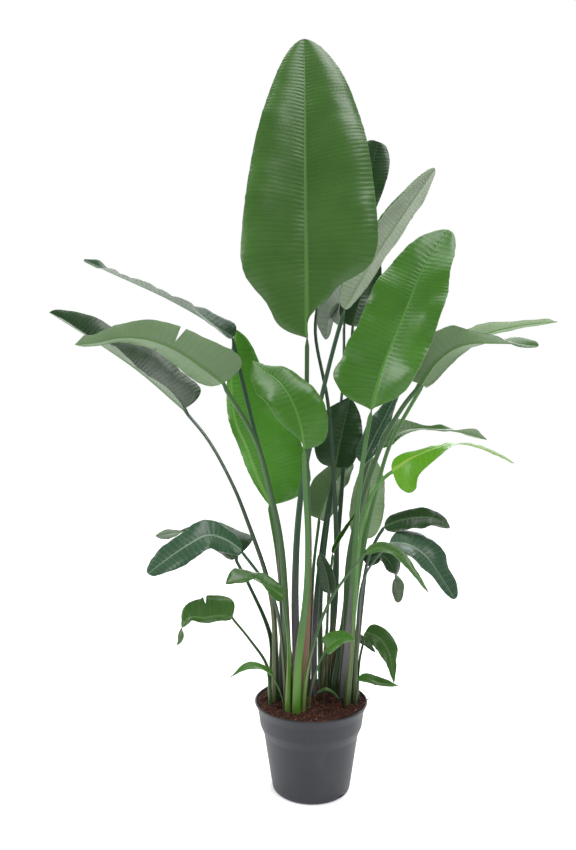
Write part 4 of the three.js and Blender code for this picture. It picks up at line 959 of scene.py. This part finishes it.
# The blade as two rows of points for each place along it, the upper skin and the lower skin
def bladeRings(row):
    r = leafRules
    rib = smoothPath(row["rib"])
    length = evenPlaces(rib, [1.0])[1]
    shares = [(index + r["firstRow"]) / (row["rows"] - 1 + r["firstRow"]) for index in range(row["rows"])]
    alongs = [mix(share, (1 - math.cos(math.pi * share)) / 2, r["evenRows"]) for share in shares]
    axes = [bladeFrame(rib, along, row) for along in alongs]
    ribGrowth = min(1, r["ribLeast"] + length / r["ribFullLength"])
    keelGrowth = min(1, length / r["keelFullLength"])
    grid, columns = [], []
    for axis, along in zip(axes, alongs):
        reaches = [max(row["half"][right] * widthShare(along, right, row), r["leastReach"])
                   for right in (0, 1)]
        ribHalf = mix(r["ribBase"], r["ribTip"], along) * ribGrowth
        columns.append(bladeColumns(reaches, ribHalf, row["perSide"]))
        grid.append([bladePoint(row, axis, along, across, reaches[across >= 0], length)
                     for across in columns[-1]])
    middle = len(columns[0]) // 2
    onRib = [1.0 if abs(column - middle) < 2 else 0.0 for column in range(len(columns[0]))]
    rings = []
    for index, along in enumerate(alongs):
        before, after = grid[max(0, index - 1)], grid[min(len(grid) - 1, index + 1)]
        ring = {"top": [], "bottom": [], "along": along * length, "sheath": 0.0, "across": columns[index],
                "rib": onRib}
        keel = mix(r["keelBase"], r["keelTip"], along) * keelGrowth
        thicken(ring, grid[index], before, after, axes[index][2], keel)
        rings.append(ring)
    return rings, axes[0][2]


# Stalk: wide and flat where its sheath stands in the mix, then channelled on its upper side. Its frame is
# carried down from the blade, so the stalk never twists against it.
def stalkRings(row, count, firstUp):
    s = stalkRules
    x, y = row["foot"]
    top = mixShape["top"]
    straight = [(x, y, leafRules["sunk"]), (x, y, top - s["below"]), (x, y, top + s["above"])]
    if row["stalk"][0][2] < top + s["straightFrom"]:
        straight.pop()
    path = smoothPath([*straight, *row["stalk"], row["rib"][0]])
    length = evenPlaces(path, [1.0])[1]
    clear = (top + leafRules["clearOfMix"] - leafRules["sunk"]) / length
    shares = [0.0] + [mix(clear, 1, index / s["rows"]) for index in range(s["rows"])]
    places = evenPlaces(path, shares)[0]
    half = count // 2
    columns = [math.sin(math.pi / 2 * (column - half) / half) for column in range(count)]
    rings = []
    up = firstUp.copy()
    for share, place in sorted(zip(shares, places), reverse=True):
        tangent = pathTangent(path, place)
        up = (up - tangent * up.dot(tangent)).normalized()
        side = tangent.cross(up)
        thick = mix(*row["stalkHalf"], smooth(share * s["narrowing"]))
        channelled = smooth((share - clear) * s["channelOpening"])
        above = (share - clear) * length
        centre = path(place)
        ring = {"top": [], "bottom": [], "along": 0.0, "across": columns, "rib": [0.0] * count}
        ring["sheath"] = max(s["sheathLeast"], 1 - smooth(above / (2 * row["sheathHeight"])))
        for across in columns:
            bulge = math.sqrt(max(0.0, 1 - across * across * s["flatness"]))
            rounding = thick * (s["edge"] + s["belly"] * bulge)
            channel = thick * (s["channelEdge"] - s["channelDepth"] * bulge)
            flank = centre + side * (across * thick * s["width"])
            ring["top"].append(flank + up * mix(rounding, channel, channelled))
            ring["bottom"].append(flank - up * rounding)
        rings.insert(0, ring)
    return rings


def leafPiece(row, material):
    blade, firstUp = bladeRings(row)
    count = len(blade[0]["top"])
    rings = stalkRings(row, count, firstUp) + blade
    last = len(rings) - 1
    points = []
    values = {"veinMm": [], "across": [], "upper": [], "sheath": [], "rib": []}
    for ring in rings:
        for skin, isUpper in (("top", 1.0), ("bottom", 0.0)):
            points.extend(point * mm for point in ring[skin])
            values["veinMm"].extend([ring["along"]] * count)
            values["across"].extend(ring["across"])
            values["upper"].extend([isUpper] * count)
            values["sheath"].extend([ring["sheath"]] * count)
            values["rib"].extend(ring["rib"])
    faces = []
    for ring in range(last):
        t, u = ring * 2 * count, (ring + 1) * 2 * count  # where this ring's points start, and the next one's
        b, c = t + count, u + count  # and where their lower skins do
        for column in range(count - 1):
            faces.append((t + column, t + column + 1, u + column + 1, u + column))
            faces.append((b + column, c + column, c + column + 1, b + column + 1))
        faces.append((t, u, c, b))
        faces.append((t + count - 1, b + count - 1, c + count - 1, u + count - 1))
    tip = last * 2 * count
    for column in range(count - 1):
        faces.append((column, count + column, count + column + 1, column + 1))
        faces.append((tip + column, tip + column + 1, tip + count + column + 1, tip + count + column))
    piece = newPiece("grown_" + row["name"], points, faces, material)
    for name, numbers in values.items():
        piece.data.attributes.new(name, "FLOAT", "POINT").data.foreach_set("value", numbers)
    colour = hexToLinear(sheathColours[row["sheath"]])
    shades = piece.data.attributes.new("sheathColour", "FLOAT_COLOR", "POINT").data
    shades.foreach_set("color", colour * len(points))
    return piece


def buildLeaves():
    skins = {tone: leafSkin(tone) for tone in leafTones}
    faceTotal = 0
    for row in leaves:
        grown = leafPiece(row, skins[row["tone"]])
        standIn(grown, row["name"])
        faceTotal += len(grown.data.polygons)
    print("leaves ready:", len(leaves), "with", faceTotal, "faces")


# Soft, even studio light on a plain pale floor, and a level camera a little below half the plant's height
studio = {
    "camera": (-0.0554, -1.6875, 0.868), "focalPixels": 700, "pictureHeight": 850,
    "floorSize": 40, "floorDrop": 0.0005, "lightsAim": (0, 0, 0.9),
    "seenWhite": 1.0, "skyLight": 0.28, "floorGlow": 0.4,
    "sunTurn": (27, 20, 0), "sunSpread": 36, "sunStrength": 1.9,
    "lights": {
        "key": {"place": (-2.7, -0.2, 2.0), "size": 1.4, "power": 46},
        "overhead": {"place": (0.2, 0.6, 3.6), "size": 2.4, "power": 60},
        "back": {"place": (0.8, 2.8, 2.4), "size": 2.2, "power": 70},
    },
}


def plainStudioFloor():
    material, tree = newMaterial("paleStudioFloor")
    finishMaterial(tree, {"Base Color": hexToLinear("f4f4f4"), "Roughness": 0.95,
                          "Emission Color": (1, 1, 1, 1), "Emission Strength": studio["floorGlow"]})
    return material


def addAreaLight(name, place, size, power):
    data = bpy.data.lights.new(name, "AREA")
    data.shape = "SQUARE"
    data.size = size
    data.energy = power
    light = bpy.data.objects.new(name, data)
    light.location = place
    aim = Vector(studio["lightsAim"]) - Vector(place)
    light.rotation_euler = aim.to_track_quat("-Z", "Y").to_euler()
    bpy.context.scene.collection.objects.link(light)


def buildStudio():
    scene = bpy.context.scene
    half = studio["floorSize"] / 2
    floorPoints = [(-half, -half, 0), (half, -half, 0), (half, half, 0), (-half, half, 0)]
    floor = newPiece("studio_floor", floorPoints, [(0, 1, 2, 3)], plainStudioFloor())
    floor.location.z = -studio["floorDrop"]
    for name, light in studio["lights"].items():
        addAreaLight(name, light["place"], light["size"], light["power"])

    sunData = bpy.data.lights.new("softSun", "SUN")
    sunData.energy = studio["sunStrength"]
    sunData.angle = math.radians(studio["sunSpread"])
    sun = bpy.data.objects.new("softSun", sunData)
    sun.rotation_euler = [math.radians(turn) for turn in studio["sunTurn"]]
    scene.collection.objects.link(sun)

    world = bpy.data.worlds.new("studioWorld")
    world.use_nodes = True
    tree = world.node_tree
    tree.nodes.clear()
    seen = addNode(tree, "ShaderNodeLightPath").outputs["Is Camera Ray"]
    strength = addNode(tree, "ShaderNodeMapRange", {
        "Value": seen, "To Min": studio["skyLight"], "To Max": studio["seenWhite"]})
    sky = addNode(tree, "ShaderNodeBackground", {"Color": (1, 1, 1, 1), "Strength": strength})
    addNode(tree, "ShaderNodeOutputWorld", {"Surface": sky})
    scene.world = world
    scene.view_settings.view_transform = "Standard"

    data = bpy.data.cameras.new("camera")
    data.sensor_width = 36
    data.lens = studio["focalPixels"] * data.sensor_width / studio["pictureHeight"]
    camera = bpy.data.objects.new("camera", data)
    camera.location = studio["camera"]
    camera.rotation_euler = (math.radians(90), 0, 0)
    scene.collection.objects.link(camera)
    scene.camera = camera


buildStudio()
print("studio ready")
buildPot(mouldedPlastic())
print("pot ready")
buildMix(compostedBark(), barkChip())
buildTwig(dryTwigBark())
print("growing mix, loose bark and twig ready")
buildLeaves()
